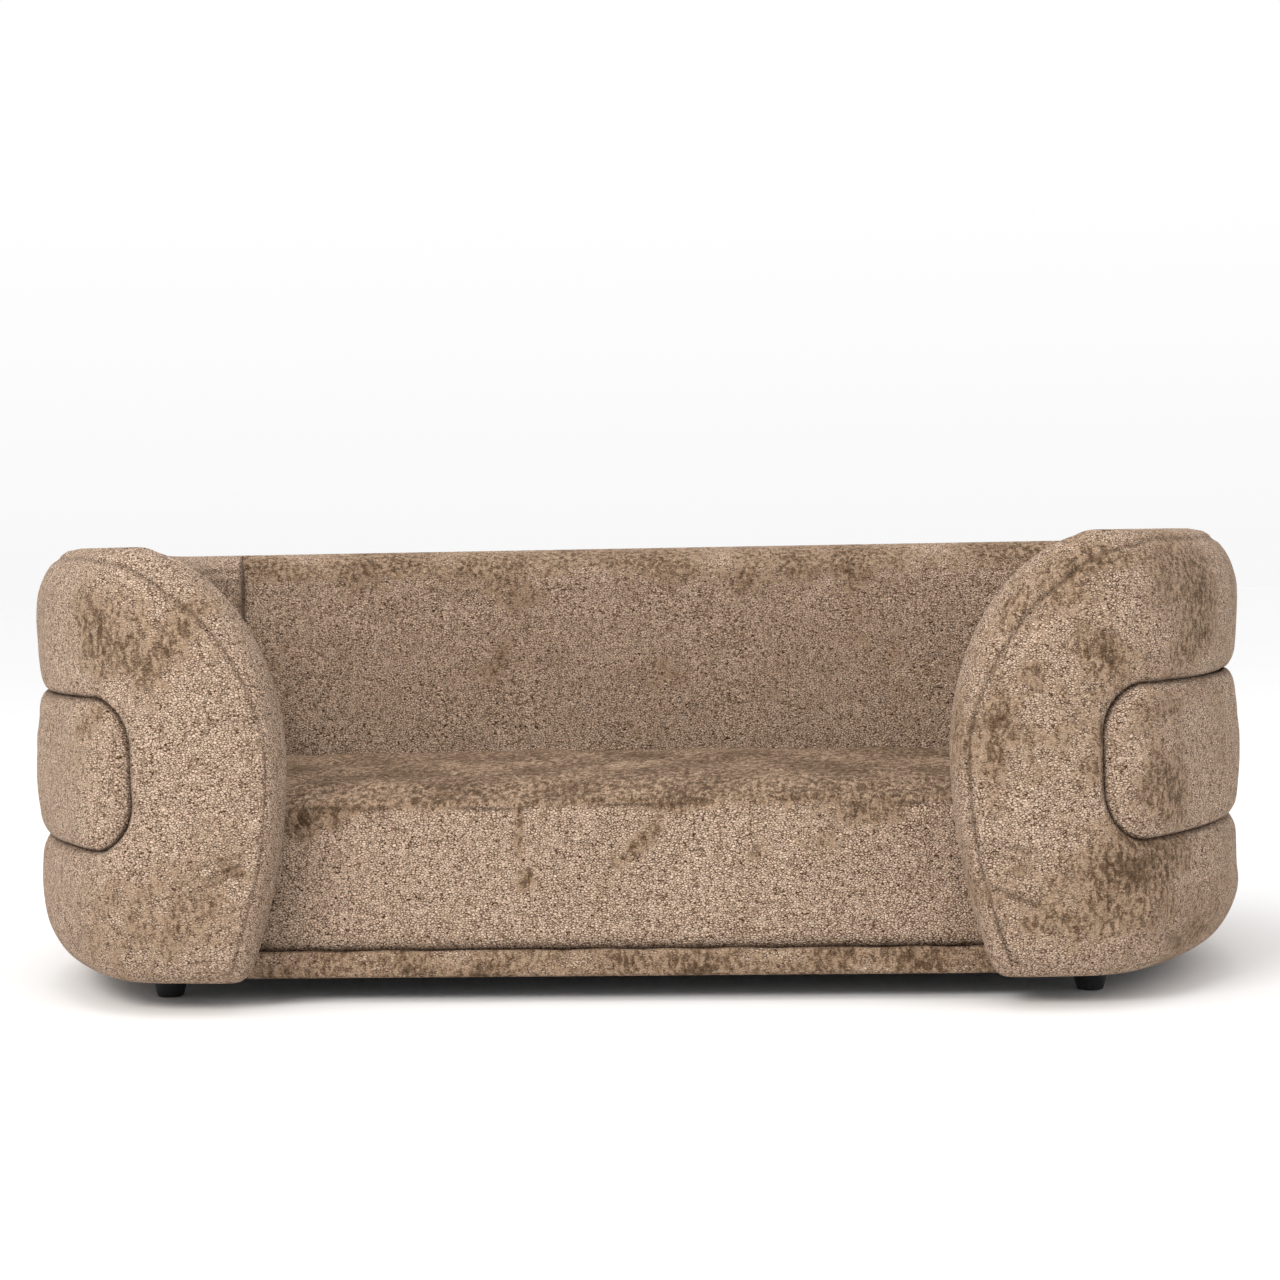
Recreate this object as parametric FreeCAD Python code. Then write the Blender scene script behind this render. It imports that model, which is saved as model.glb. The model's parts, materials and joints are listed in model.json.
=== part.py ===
"""Upholstered pet sofa: a padded wall bent into a C stands on a base board and holds a lift-out seat cushion.

Millimetres. +Z is up, the front faces -Y, and the origin is on the floor under the middle of the plan.
"""

import FreeCAD
import Part

import math
import os

V = FreeCAD.Vector

# ---- driving dimensions -------------------------------------------------------------------------
WIDTH = 900.0               # over the bulged sides
HEIGHT = 320.0              # floor to the top of the arms
FOOT_H = 19.0               # clear height under the body
WALL = 64.0                 # padded wall, outer face to inner face
BACK_EXTRA = 30.0           # how much thicker the backrest is than the wall behind it

# Plan outline of the right half, from the inner end of the front shield to the middle of the back.
# Headings are in degrees: 0 runs along +X, 90 runs straight back.
SHIELD_INNER_X = 227.0      # half the gap between the two front shields at its narrowest
R_FACE, A_FACE = 1275.0, 4.0
R_FRONT_CORNER, A_FRONT_CORNER = 78.0, 55.0
R_SIDE_REAR, A_SIDE = 700.0, 106.0      # the front half of the side has a radius that gives WIDTH
R_REAR_CORNER, A_REAR_CORNER = 130.0, 176.0

# Front view of a shield: the half-moon edge
MOON_Z = 172.0              # height of the innermost point
MOON_TOP_X = 340.0          # where the curve meets the flat top
MOON_LOWER_SAG = 30.0       # how far the lower curve falls back, by the base

# Tiers of the outer face
BAND_LOW, BAND_HIGH = 112.0, 217.0
BAND_START_X = 344.0        # where the band starts on the shield face
R_BAND_END = 36.0
TIER_GAP = 1.0              # half the sewn-in groove between two tiers

# Layers of the wall, as depths below the outer face
OUTER_PAD = 22.0
SKIN = 3.0
RIB_OUT, RIB_IN = OUTER_PAD + SKIN, 43.0
BOTTOM_RIB_IN = 62.0
BOARD_INSET = 48.0          # the board stays inside the rounded lower edge
TOP_PAD = 17.0
R_TOP_EDGE, R_BOTTOM_EDGE = 45.0, 56.0

# Base and frame
CLOTH = 1.0                 # dust cover under the board and cloth on top of it
BOARD_T = 12.0
RIB_T = 15.0
BLOCK_W, BLOCK_EASE = 30.0, 1.5      # the flat blocks are thinner than the ribs, to clear the curved skins
FORMER_T = 15.0
FORMER_DEPTH = 30.0         # shield face to the front of the plywood former
FORMER_SCREW_X = (285.0, 325.0)
REAR_SEAM_X = 330.0         # where the arm covers meet the back covers
BLOCK_HEADINGS = (90.0, 136.0, 178.2)   # blocks between the ribs: two on each side and one of the back's pair

# Seat cushion
CUSHION_TOP = 142.0
CUSHION_CLEAR = 2.0
COVER_T = 2.5
R_CUSHION = 10.0

# Zip in the back of the cushion cover
ZIP_Z, ZIP_HALF = 88.0, 290.0
GROOVE_H, GROOVE_DEPTH, GROOVE_END = 22.0, 10.0, 13.0
TAPE_T, TAPE_SLIT = 1.0, 0.3
COIL_T, COIL_W = 2.0, 5.0
STOP_W, STOP_H, STOP_RISE = 3.0, 7.0, 0.8
REAR_RECESS = 22.0          # hollow in the backrest behind the zip
PLATE_T, PLATE_HALF, FLANGE_IN = 1.4, 4.6, 3.2
SLIDER_HALF = 5.0
COIL_CLEAR = 0.3
PULL_L, PULL_HALF, PULL_T, R_PULL_BAR = 22.0, 3.2, 1.2, 0.7
BRIDGE_RISE, BRIDGE_T, BRIDGE_HALF = 3.6, 1.1, 3.6

# Feet and fasteners
FOOT_FRONT = (325.0, -186.0)
FOOT_REAR = (300.0, 190.0)
R_FOOT_TOP, R_FOOT_LOW, R_FOOT_RIM = 14.0, 9.0, 1.5
R_STUD, R_BARREL, R_FLANGE, FLANGE_T = 3.0, 4.2, 9.5, 1.4
R_SHANK, R_HEAD, HEAD_H, SCREW_IN_RIB, SCREW_IN_BLOCK = 2.0, 4.2, 2.4, 22.0, 38.0
STAPLE_W, STAPLE_LEG, STAPLE_WIRE, STAPLE_PITCH, STAPLE_INSET = 10.0, 7.0, 0.5, 48.0, 58.0

BIG = 1000.0                # half a side of the boxes that pick out regions

# ---- derived levels -----------------------------------------------------------------------------
BOARD_LOW = FOOT_H + CLOTH
BOARD_TOP = BOARD_LOW + BOARD_T
FRAME_LOW = BOARD_TOP + RIB_T           # top of the bottom rib
WOOD_TOP = HEIGHT - TOP_PAD
CUSHION_LOW = BOARD_TOP + CLOTH
RIB_LEVELS = (BAND_LOW - RIB_T / 2, BAND_HIGH - RIB_T / 2, WOOD_TOP - RIB_T)


# ---- plan outline -------------------------------------------------------------------------------
def rad(degrees):
    return math.radians(degrees)


def stretches():
    """(radius, start heading, end heading) of each arc of the right half."""
    x = SHIELD_INNER_X + R_FACE * math.sin(rad(A_FACE))
    x += R_FRONT_CORNER * (math.sin(rad(A_FRONT_CORNER)) - math.sin(rad(A_FACE)))
    r_side_front = (WIDTH / 2 - x) / (1 - math.sin(rad(A_FRONT_CORNER)))
    x = WIDTH / 2 - R_SIDE_REAR * (1 - math.sin(rad(A_SIDE)))
    x -= R_REAR_CORNER * (math.sin(rad(A_SIDE)) - math.sin(rad(A_REAR_CORNER)))
    r_back = x / math.sin(rad(A_REAR_CORNER))
    return [
        (R_FACE, 0.0, A_FACE),
        (R_FRONT_CORNER, A_FACE, A_FRONT_CORNER),
        (r_side_front, A_FRONT_CORNER, 90.0),
        (R_SIDE_REAR, 90.0, A_SIDE),
        (R_REAR_CORNER, A_SIDE, A_REAR_CORNER),
        (r_back, A_REAR_CORNER, 180.0),
    ]


STRETCHES = stretches()
DEPTH = sum(r * (math.cos(rad(a)) - math.cos(rad(b))) for r, a, b in STRETCHES)
Y_FRONT = -DEPTH / 2


def centres():
    """Centre of each arc; every layer inside the outer face shares it."""
    x, y, found = SHIELD_INNER_X, Y_FRONT, []
    for r, a, b in STRETCHES:
        cx, cy = x - r * math.sin(rad(a)), y + r * math.cos(rad(a))
        found.append((cx, cy))
        x, y = cx + r * math.sin(rad(b)), cy - r * math.cos(rad(b))
    return found


CENTRES = centres()


def plan_point(heading, depth):
    """Point of the right half at that heading, a given depth below the outer face."""
    for (r, _, b), (cx, cy) in zip(STRETCHES, CENTRES):
        if heading <= b:
            return cx + (r - depth) * math.sin(rad(heading)), cy - (r - depth) * math.cos(rad(heading))
    raise ValueError(heading)


def outline(depth):
    """Closed plan wire at a depth below the outer face, at z = 0."""
    right, left = [], []
    for (r, a, b), (cx, cy) in zip(STRETCHES, CENTRES):
        turns = [rad(h) for h in (a, (a + b) / 2, b)]
        p = [V(cx + (r - depth) * math.sin(t), cy - (r - depth) * math.cos(t), 0) for t in turns]
        right.append(Part.Arc(*p).toShape())
        left.insert(0, Part.Arc(*[V(-v.x, v.y, 0) for v in reversed(p)]).toShape())
    start = V(SHIELD_INNER_X, Y_FRONT + depth, 0)
    front = Part.LineSegment(V(-start.x, start.y, 0), start).toShape()
    return Part.Wire([front] + right + left)


# ---- helpers ------------------------------------------------------------------------------------
def prism(depth, low, high):
    """The plan at a depth below the outer face, from one height to another."""
    shape = Part.Face(outline(depth)).extrude(V(0, 0, high - low))
    shape.translate(V(0, 0, low))
    return shape


def ring(outer, inner, low, high):
    return prism(outer, low, high).cut(prism(inner, low - 1, high + 1))


def box(x0, x1, y0, y1, z0, z1):
    return Part.makeBox(x1 - x0, y1 - y0, z1 - z0, V(x0, y0, z0))


def slab(z0, z1):
    return box(-BIG, BIG, -BIG, BIG, z0, z1)


def mirrored(shape):
    return shape.mirror(V(0, 0, 0), V(1, 0, 0))


def cut_all(shape, tools):
    for tool in tools:
        shape = shape.cut(tool)
    return shape


def both_sides(name, right):
    """The right piece and its mirror image, by name."""
    return {"right_" + name: right, "left_" + name: mirrored(right)}


def edges_at(shape, z):
    return [e for e in shape.Edges if e.BoundBox.ZMax - z < 1e-4 and z - e.BoundBox.ZMin < 1e-4]


# ---- regions ------------------------------------------------------------------------------------
Y_SHIELD = Y_FRONT + WALL + 12.0        # behind this, the wall is side and not shield
Y_FORMER = Y_FRONT + FORMER_DEPTH + FORMER_T
Y_BACKREST = -Y_FRONT - WALL - BACK_EXTRA
Y_CUSHION = Y_FRONT + WALL + CUSHION_CLEAR
Y_CUSHION_BACK = Y_BACKREST - CUSHION_CLEAR
NOTCH = SHIELD_INNER_X + MOON_LOWER_SAG + 6.0   # half the board's set-back between the shields


def rounded_body():
    """The whole upholstered block with its soft top and bottom edges."""
    block = prism(0, FOOT_H, HEIGHT)
    block = block.makeFillet(R_TOP_EDGE, edges_at(block, HEIGHT))
    return block.makeFillet(R_BOTTOM_EDGE, edges_at(block, FOOT_H))


def gap(inset):
    """The opening between the half-moon shields, widened by inset for what lies under the padding."""
    y, above = Y_FRONT - 30, HEIGHT + 30
    waist_x, low = SHIELD_INNER_X + inset, FOOT_H - 5
    crown = V(MOON_TOP_X + inset, y, HEIGHT - inset)
    waist = V(waist_x, y, MOON_Z)
    middle = V(waist_x + MOON_LOWER_SAG / 4, y, (MOON_Z + low) / 2)
    foot = V(waist_x + MOON_LOWER_SAG, y, low)
    moon = Part.Ellipse(crown, waist, V(crown.x, y, MOON_Z))
    right = [
        Part.Arc(foot, middle, waist).toShape(),
        moon_quarter(moon, crown, waist),
        Part.LineSegment(crown, V(crown.x, y, above)).toShape(),
    ]
    ends = [
        Part.LineSegment(V(crown.x, y, above), V(-crown.x, y, above)).toShape(),
        Part.LineSegment(foot, V(-foot.x, y, low)).toShape(),
    ]
    edges = right + [mirrored(e) for e in right] + ends
    return Part.Face(Part.Wire(Part.__sortEdges__(edges))).extrude(V(0, Y_SHIELD - y, 0))


def moon_quarter(ellipse, crown, waist):
    """The quarter of the ellipse between the crown and the waist."""
    turns = sorted([ellipse.parameter(crown) % (2 * math.pi), ellipse.parameter(waist) % (2 * math.pi)])
    if turns[1] - turns[0] > math.pi:
        turns = [turns[1] - 2 * math.pi, turns[0]]
    return Part.ArcOfEllipse(ellipse, *turns).toShape()


def band_zone(grow):
    """Where the band runs: a round end on the shield face, then straight round the side and back."""
    low, high, start = BAND_LOW - grow, BAND_HIGH + grow, BAND_START_X - grow
    front = box(start, BIG, -BIG, 0, low, high)
    ends = [e for e in front.Edges if e.BoundBox.XMax - start < 1e-6 and e.BoundBox.YLength > 1]
    front = front.makeFillet(R_BAND_END + grow, ends)
    return front.fuse(mirrored(front)).fuse(box(-BIG, BIG, 0, BIG, low, high))


RIGHT = box(0, BIG, -BIG, BIG, -BIG, BIG)
SHIELD = box(0, BIG, -BIG, Y_SHIELD, -BIG, BIG)
BACK = box(-REAR_SEAM_X, REAR_SEAM_X, 100, BIG, -BIG, BIG)
ARM = RIGHT.cut(BACK)
SIDE = ARM.cut(SHIELD)
BEHIND_FORMER = ARM.cut(box(-BIG, BIG, -BIG, Y_FORMER, -BIG, BIG))
BODY = rounded_body()
GAP = gap(0)


# ---- outer padding ------------------------------------------------------------------------------
def outer_pads():
    """Foam and cover of the outer face: shield faces, upper and lower tiers, and the band."""
    skin = BODY.cut(prism(OUTER_PAD, BOARD_TOP, HEIGHT + 1)).cut(prism(BOARD_INSET, FOOT_H - 1, BOARD_TOP))
    skin = skin.cut(GAP)
    tiers = skin.cut(band_zone(TIER_GAP))
    band = skin.common(band_zone(-TIER_GAP))
    pads = both_sides("shield_face_pad", tiers.common(SHIELD))
    for name, low, high in (("lower_pad", 0, BAND_LOW), ("upper_pad", BAND_HIGH, HEIGHT)):
        tier = tiers.common(slab(low, high))
        pads.update(both_sides(name, tier.common(SIDE)))
        pads["back_" + name] = tier.common(BACK)
    pads.update(both_sides("band", band.common(ARM)))
    pads["back_band"] = band.common(BACK)
    return pads


# ---- wooden frame -------------------------------------------------------------------------------
def blocks(heading):
    """Upright blocks between the ribs at one place of the wall, square to it."""
    px, py = plan_point(heading, (RIB_OUT + RIB_IN) / 2)
    half = (RIB_IN - RIB_OUT) / 2 - BLOCK_EASE
    made, low = [], FRAME_LOW
    for level in RIB_LEVELS:
        block = box(-BLOCK_W / 2, BLOCK_W / 2, -half, half, low, level)
        block.rotate(V(0, 0, 0), V(0, 0, 1), heading)
        block.translate(V(px, py, 0))
        made.append(block)
        low = level + RIB_T
    return made


def frame():
    """Ribs, skins and blocks of the wall, and the flat former inside each shield."""
    bottom = ring(RIB_OUT, BOTTOM_RIB_IN, BOARD_TOP, FRAME_LOW).cut(gap(OUTER_PAD))
    middle = [ring(RIB_OUT, RIB_IN, z, z + RIB_T) for z in RIB_LEVELS[:2]]
    top = ring(RIB_OUT, RIB_IN, RIB_LEVELS[2], WOOD_TOP)
    outer_skin = ring(OUTER_PAD, RIB_OUT, FRAME_LOW, WOOD_TOP)
    inner_skin = ring(RIB_IN, RIB_IN + SKIN, FRAME_LOW, WOOD_TOP)
    wood = both_sides("bottom_rib", bottom.common(ARM))
    wood.update(both_sides("middle_ribs", Part.Compound([r.common(BEHIND_FORMER) for r in middle])))
    wood.update(both_sides("top_rib", top.common(BEHIND_FORMER)))
    wood.update(both_sides("outer_skin", outer_skin.common(BEHIND_FORMER)))
    wood.update(both_sides("inner_skin", inner_skin.common(SIDE)))
    wood["back_bottom_rib"] = bottom.common(BACK)
    wood["back_middle_ribs"] = Part.Compound([r.common(BACK) for r in middle])
    wood["back_top_rib"] = top.common(BACK)
    wood["back_outer_skin"] = outer_skin.common(BACK)
    wood["back_inner_skin"] = inner_skin.common(BACK)
    side_blocks = blocks(BLOCK_HEADINGS[0]) + blocks(BLOCK_HEADINGS[1])
    wood.update(both_sides("frame_blocks", Part.Compound(side_blocks)))
    back_blocks = blocks(BLOCK_HEADINGS[2])
    wood["back_frame_blocks"] = Part.Compound(back_blocks + [mirrored(b) for b in back_blocks])
    former = box(0, BIG, Y_FORMER - FORMER_T, Y_FORMER, FRAME_LOW, WOOD_TOP)
    former = former.common(prism(RIB_OUT, FRAME_LOW, WOOD_TOP)).cut(gap(OUTER_PAD))
    wood.update(both_sides("shield_former", former))
    return wood


def base_board():
    """Base board: the plan, set back between the shields to the front of the seat."""
    return prism(BOARD_INSET, BOARD_LOW, BOARD_TOP).cut(box(-NOTCH, NOTCH, -BIG, Y_CUSHION + 3, -BIG, BIG))


# ---- inner padding ------------------------------------------------------------------------------
def inner_pads(wood):
    """Foam and cover of the shields' inside, the arms' inner faces, the backrest and the rolled top."""
    core = ring(OUTER_PAD, WALL, BOARD_TOP, WOOD_TOP).common(SHIELD).cut(GAP)
    hollow = ring(OUTER_PAD - 1, RIB_IN, FRAME_LOW, WOOD_TOP + 1).common(BEHIND_FORMER)
    core = cut_all(core, [hollow, wood["right_bottom_rib"], wood["right_shield_former"]])
    pads = both_sides("shield_core", core)
    pads.update(both_sides("inner_pad", ring(RIB_IN + SKIN, WALL, FRAME_LOW, WOOD_TOP).common(SIDE)))
    thick = prism(RIB_IN + SKIN, BOARD_TOP, WOOD_TOP).common(BACK)
    thick = thick.common(box(-BIG, BIG, Y_BACKREST, BIG, -BIG, BIG)).cut(wood["back_bottom_rib"])
    recess = box(-ZIP_HALF - 20, ZIP_HALF + 20, 0, Y_BACKREST + REAR_RECESS, 0, CUSHION_TOP - 12)
    pads["backrest_pad"] = thick.cut(recess)
    roll = BODY.common(prism(OUTER_PAD, WOOD_TOP, HEIGHT))
    pads.update(both_sides("top_roll", roll.cut(prism(WALL, 0, BIG)).common(ARM).cut(GAP)))
    pads["back_top_roll"] = roll.common(BACK).common(box(-BIG, BIG, Y_BACKREST, BIG, 0, BIG))
    return pads


# ---- base trim, feet and fasteners --------------------------------------------------------------
FEET = (
    ("foot_front_right", FOOT_FRONT[0], FOOT_FRONT[1]),
    ("foot_front_left", -FOOT_FRONT[0], FOOT_FRONT[1]),
    ("foot_rear_right", FOOT_REAR[0], FOOT_REAR[1]),
    ("foot_rear_left", -FOOT_REAR[0], FOOT_REAR[1]),
)


def foot(x, y):
    """Tapered foot with a blind hole for its stud."""
    cone = Part.makeCone(R_FOOT_LOW, R_FOOT_TOP, FOOT_H, V(x, y, 0))
    cone = cone.makeFillet(R_FOOT_RIM, edges_at(cone, 0))
    return cone.cut(Part.makeCylinder(R_STUD, FOOT_H, V(x, y, FOOT_H / 2)))


def studs():
    return [Part.makeCylinder(R_STUD, BOARD_TOP - FOOT_H / 2, V(x, y, FOOT_H / 2)) for _, x, y in FEET]


def tee_nuts():
    """Flanged nuts let into the board's upper face, threaded on the studs."""
    made = []
    for _, x, y in FEET:
        flange = Part.makeCylinder(R_FLANGE, FLANGE_T, V(x, y, BOARD_TOP - FLANGE_T))
        barrel = Part.makeCylinder(R_BARREL, BOARD_T - 2, V(x, y, BOARD_LOW + 2))
        made.append(flange.fuse(barrel).cut(Part.makeCylinder(R_STUD, BIG, V(x, y, 0))))
    return made


def screw(x, y, z, length):
    """Countersunk screw pointing up, its head flush at height z."""
    shank = Part.makeCylinder(R_SHANK, length, V(x, y, z))
    return shank.fuse(Part.makeCone(R_HEAD, R_SHANK, HEAD_H, V(x, y, z)))


def frame_screws():
    """Screws up through the board into the bottom rib, and through that rib into the blocks and formers."""
    made = []
    for heading in BLOCK_HEADINGS:
        spots = (
            (plan_point(heading, (BOARD_INSET + BOTTOM_RIB_IN) / 2), BOARD_LOW, SCREW_IN_RIB),
            (plan_point(heading, (RIB_OUT + RIB_IN) / 2), BOARD_TOP, SCREW_IN_BLOCK),
        )
        made += [screw(side * x, y, z, length) for (x, y), z, length in spots for side in (1, -1)]
    y = Y_FORMER - FORMER_T / 2
    return made + [screw(side * x, y, BOARD_TOP, SCREW_IN_BLOCK) for x in FORMER_SCREW_X for side in (1, -1)]


def staple(x, y, heading):
    half, wire, low = STAPLE_W / 2, STAPLE_WIRE, FOOT_H - STAPLE_WIRE
    shape = box(-half, half, -wire / 2, wire / 2, low, FOOT_H)
    for leg in (-half, half - wire):
        shape = shape.fuse(box(leg, leg + wire, -wire / 2, wire / 2, low, low + STAPLE_LEG))
    shape.rotate(V(0, 0, 0), V(0, 0, 1), heading)
    shape.translate(V(x, y, 0))
    return shape


def staples():
    """Staples that hold the dust cover, along its edge."""
    made = []
    for r, a, b in STRETCHES:
        count = max(1, round((r - STAPLE_INSET) * rad(b - a) / STAPLE_PITCH))
        for i in range(count):
            heading = a + (b - a) * (i + 0.5) / count
            x, y = plan_point(heading, STAPLE_INSET)
            if x > NOTCH + STAPLE_W or y > 0:
                one = staple(x, y, heading)
                made += [one, mirrored(one)]
    return made


def base_trim():
    """The upholstered strip along the board's front edge, the dust cover and the cloth on the deck."""
    half = NOTCH - 0.5
    strip = box(-half, half, Y_CUSHION - 3, Y_CUSHION + 3, FOOT_H - 2, BOARD_TOP)
    notch = box(-NOTCH - 3, NOTCH + 3, -BIG, Y_CUSHION + 6, -BIG, BIG)
    dust = prism(BOARD_INSET + 2, FOOT_H, BOARD_LOW).cut(notch)
    deck = prism(BOTTOM_RIB_IN + 2, BOARD_TOP, CUSHION_LOW - 0.2)
    deck = deck.common(box(-BIG, BIG, Y_CUSHION + 4, Y_BACKREST - 1, -BIG, BIG))
    return {"base_front_strip": strip, "dust_cover": dust, "deck_cloth": deck}


# ---- seat cushion and its zip -------------------------------------------------------------------
def cushion(inset):
    """The cushion's outer shape, shrunk by inset, with the zip's groove grown by the same amount."""
    low, high = CUSHION_LOW + inset, CUSHION_TOP - inset
    shape = prism(WALL + CUSHION_CLEAR + inset, low, high)
    shape = shape.common(box(-BIG, BIG, -BIG, Y_CUSHION_BACK - inset, -BIG, BIG))
    radius = R_CUSHION - inset
    shape = shape.makeFillet(radius, edges_at(shape, low) + edges_at(shape, high))
    half, rise = ZIP_HALF + GROOVE_END + inset, GROOVE_H / 2 + inset
    floor_y = Y_CUSHION_BACK - GROOVE_DEPTH - inset
    return shape.cut(box(-half, half, floor_y, BIG, ZIP_Z - rise, ZIP_Z + rise))


Y_GROOVE = Y_CUSHION_BACK - GROOVE_DEPTH
Y_COIL = Y_GROOVE + TAPE_T
Y_PLATE = Y_COIL + COIL_T + COIL_CLEAR
Y_BRIDGE = Y_PLATE + PLATE_T
Y_PULL = Y_BRIDGE + 1.1                 # axis of the pull's end bar
SLIDER_X = ZIP_HALF - 12.0              # closed: the slider stands by the right-hand stop


def zip_tapes():
    """Two woven tapes on the groove's floor, meeting under the coil."""
    half = GROOVE_H / 2 - 1
    spans = ((ZIP_Z - half, ZIP_Z - TAPE_SLIT), (ZIP_Z + TAPE_SLIT, ZIP_Z + half))
    return [box(-ZIP_HALF, ZIP_HALF, Y_GROOVE, Y_COIL, z0, z1) for z0, z1 in spans]


def zip_coil():
    """The closed chain, as one bar with a stop at each end."""
    end = ZIP_HALF - STOP_W
    shape = box(-end, end, Y_COIL, Y_COIL + COIL_T, ZIP_Z - COIL_W / 2, ZIP_Z + COIL_W / 2)
    for x in (-ZIP_HALF, end):
        z = ZIP_Z - STOP_H / 2
        shape = shape.fuse(box(x, x + STOP_W, Y_COIL, Y_COIL + COIL_T + STOP_RISE, z, z + STOP_H))
    return shape.removeSplitter()


def zip_slider():
    """Top plate with two flanges beside the coil, and the bridge that holds the pull."""
    shape = box(-SLIDER_HALF, SLIDER_HALF, Y_PLATE, Y_BRIDGE, -PLATE_HALF, PLATE_HALF)
    for low, high in ((-PLATE_HALF, -FLANGE_IN), (FLANGE_IN, PLATE_HALF)):
        shape = shape.fuse(box(-SLIDER_HALF, SLIDER_HALF, Y_PLATE - COIL_T, Y_PLATE, low, high))
    inside = BRIDGE_HALF - BRIDGE_T
    bridge = box(-BRIDGE_HALF, BRIDGE_HALF, Y_BRIDGE, Y_BRIDGE + BRIDGE_RISE, -1, 1)
    bridge = bridge.cut(box(-inside, inside, Y_BRIDGE, Y_BRIDGE + BRIDGE_RISE - BRIDGE_T, -2, 2))
    shape = shape.fuse(bridge).removeSplitter()
    shape.translate(V(SLIDER_X, 0, ZIP_Z))
    return shape


def zip_pull():
    """Flat tab whose round end bar lies under the bridge; it points back along the zip."""
    tab = box(-PULL_L, 0, Y_PULL - PULL_T / 2, Y_PULL + PULL_T / 2, -PULL_HALF, PULL_HALF)
    tab = tab.cut(box(-6.5, 1, Y_PULL - 1, Y_PULL + 1, 1.4 - PULL_HALF, PULL_HALF - 1.4))
    bar = Part.makeCylinder(R_PULL_BAR, 2 * PULL_HALF, V(0, Y_PULL, -PULL_HALF), V(0, 0, 1))
    shape = tab.fuse(bar).removeSplitter()
    shape.translate(V(SLIDER_X, 0, ZIP_Z))
    return shape


# ---- assembly -----------------------------------------------------------------------------------
def build():
    """Every node's shape by name."""
    wood = frame()
    nodes = outer_pads()
    nodes.update(inner_pads(wood))
    screws, nuts, bolts = frame_screws(), tee_nuts(), studs()
    for name, shape in wood.items():
        bored = ("block", "former", "bottom")
        nodes[name] = cut_all(shape, screws) if any(word in name for word in bored) else shape
    nodes.update(base_trim())
    nodes["base_board"] = cut_all(base_board(), screws + [nut.fuse(bolt) for nut, bolt in zip(nuts, bolts)])
    nodes["dust_cover"] = cut_all(nodes["dust_cover"], bolts)
    for name, x, y in FEET:
        nodes[name] = foot(x, y)
    nodes["foot_studs"] = Part.Compound(bolts)
    nodes["tee_nuts"] = Part.Compound(nuts)
    nodes["frame_screws"] = Part.Compound(screws)
    nodes["dust_cover_staples"] = Part.Compound(staples())
    nodes["cushion_cover"] = cushion(0).cut(cushion(COVER_T))
    nodes["cushion_foam"] = cushion(COVER_T + 0.2)
    nodes["zip_tapes"] = Part.Compound(zip_tapes())
    nodes["zip_coil"] = zip_coil()
    nodes["zip_slider"] = zip_slider()
    nodes["zip_pull"] = zip_pull()
    return nodes


def main():
    os.makedirs("parts", exist_ok=True)
    for old in os.listdir("parts"):
        if old.endswith(".step"):
            os.remove(os.path.join("parts", old))
    nodes = build()
    for name, shape in sorted(nodes.items()):
        solids = shape.Solids
        if not solids or not all(s.isValid() and s.Volume > 0 for s in solids):
            raise ValueError(f"{name} is not made of valid solids")
        kept = solids[0] if len(solids) == 1 else Part.Compound(solids)
        kept.exportStep(os.path.join("parts", name + ".step"))
        print(f"{name:24s} {len(solids):3d} solid(s) {sum(s.Volume for s in solids) / 1e6:8.3f} l")
    print(f"{len(nodes)} nodes; {WIDTH:.0f} x {DEPTH:.1f} x {HEIGHT:.0f} mm")


main()
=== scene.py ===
import json
import math

import bmesh
import bpy
import numpy as np
from mathutils import Matrix, Vector
from mathutils.bvhtree import BVHTree


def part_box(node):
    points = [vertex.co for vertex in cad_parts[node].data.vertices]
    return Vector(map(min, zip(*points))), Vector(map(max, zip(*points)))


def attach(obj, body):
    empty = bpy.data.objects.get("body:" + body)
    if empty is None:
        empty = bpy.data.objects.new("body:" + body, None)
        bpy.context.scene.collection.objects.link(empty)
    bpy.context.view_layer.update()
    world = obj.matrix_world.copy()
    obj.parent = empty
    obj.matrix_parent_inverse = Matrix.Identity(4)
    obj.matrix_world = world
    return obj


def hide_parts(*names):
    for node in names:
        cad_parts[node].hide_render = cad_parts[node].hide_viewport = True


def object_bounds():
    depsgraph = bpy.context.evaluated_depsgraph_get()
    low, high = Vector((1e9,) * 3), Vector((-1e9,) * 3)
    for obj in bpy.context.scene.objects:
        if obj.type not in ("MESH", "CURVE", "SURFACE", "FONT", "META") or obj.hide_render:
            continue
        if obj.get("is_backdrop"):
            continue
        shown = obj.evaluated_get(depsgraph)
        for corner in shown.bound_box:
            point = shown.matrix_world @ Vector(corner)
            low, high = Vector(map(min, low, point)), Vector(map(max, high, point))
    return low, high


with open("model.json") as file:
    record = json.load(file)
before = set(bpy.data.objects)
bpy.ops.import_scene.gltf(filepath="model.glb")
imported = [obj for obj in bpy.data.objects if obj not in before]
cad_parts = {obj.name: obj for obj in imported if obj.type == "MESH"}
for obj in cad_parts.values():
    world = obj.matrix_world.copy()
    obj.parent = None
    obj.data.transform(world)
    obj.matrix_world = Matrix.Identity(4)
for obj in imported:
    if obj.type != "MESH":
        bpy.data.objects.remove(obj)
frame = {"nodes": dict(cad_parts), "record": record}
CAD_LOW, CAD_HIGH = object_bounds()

# Lengths are in millimetres until a mesh is made; MM turns them into the frame's metres.
MM = 0.001

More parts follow.
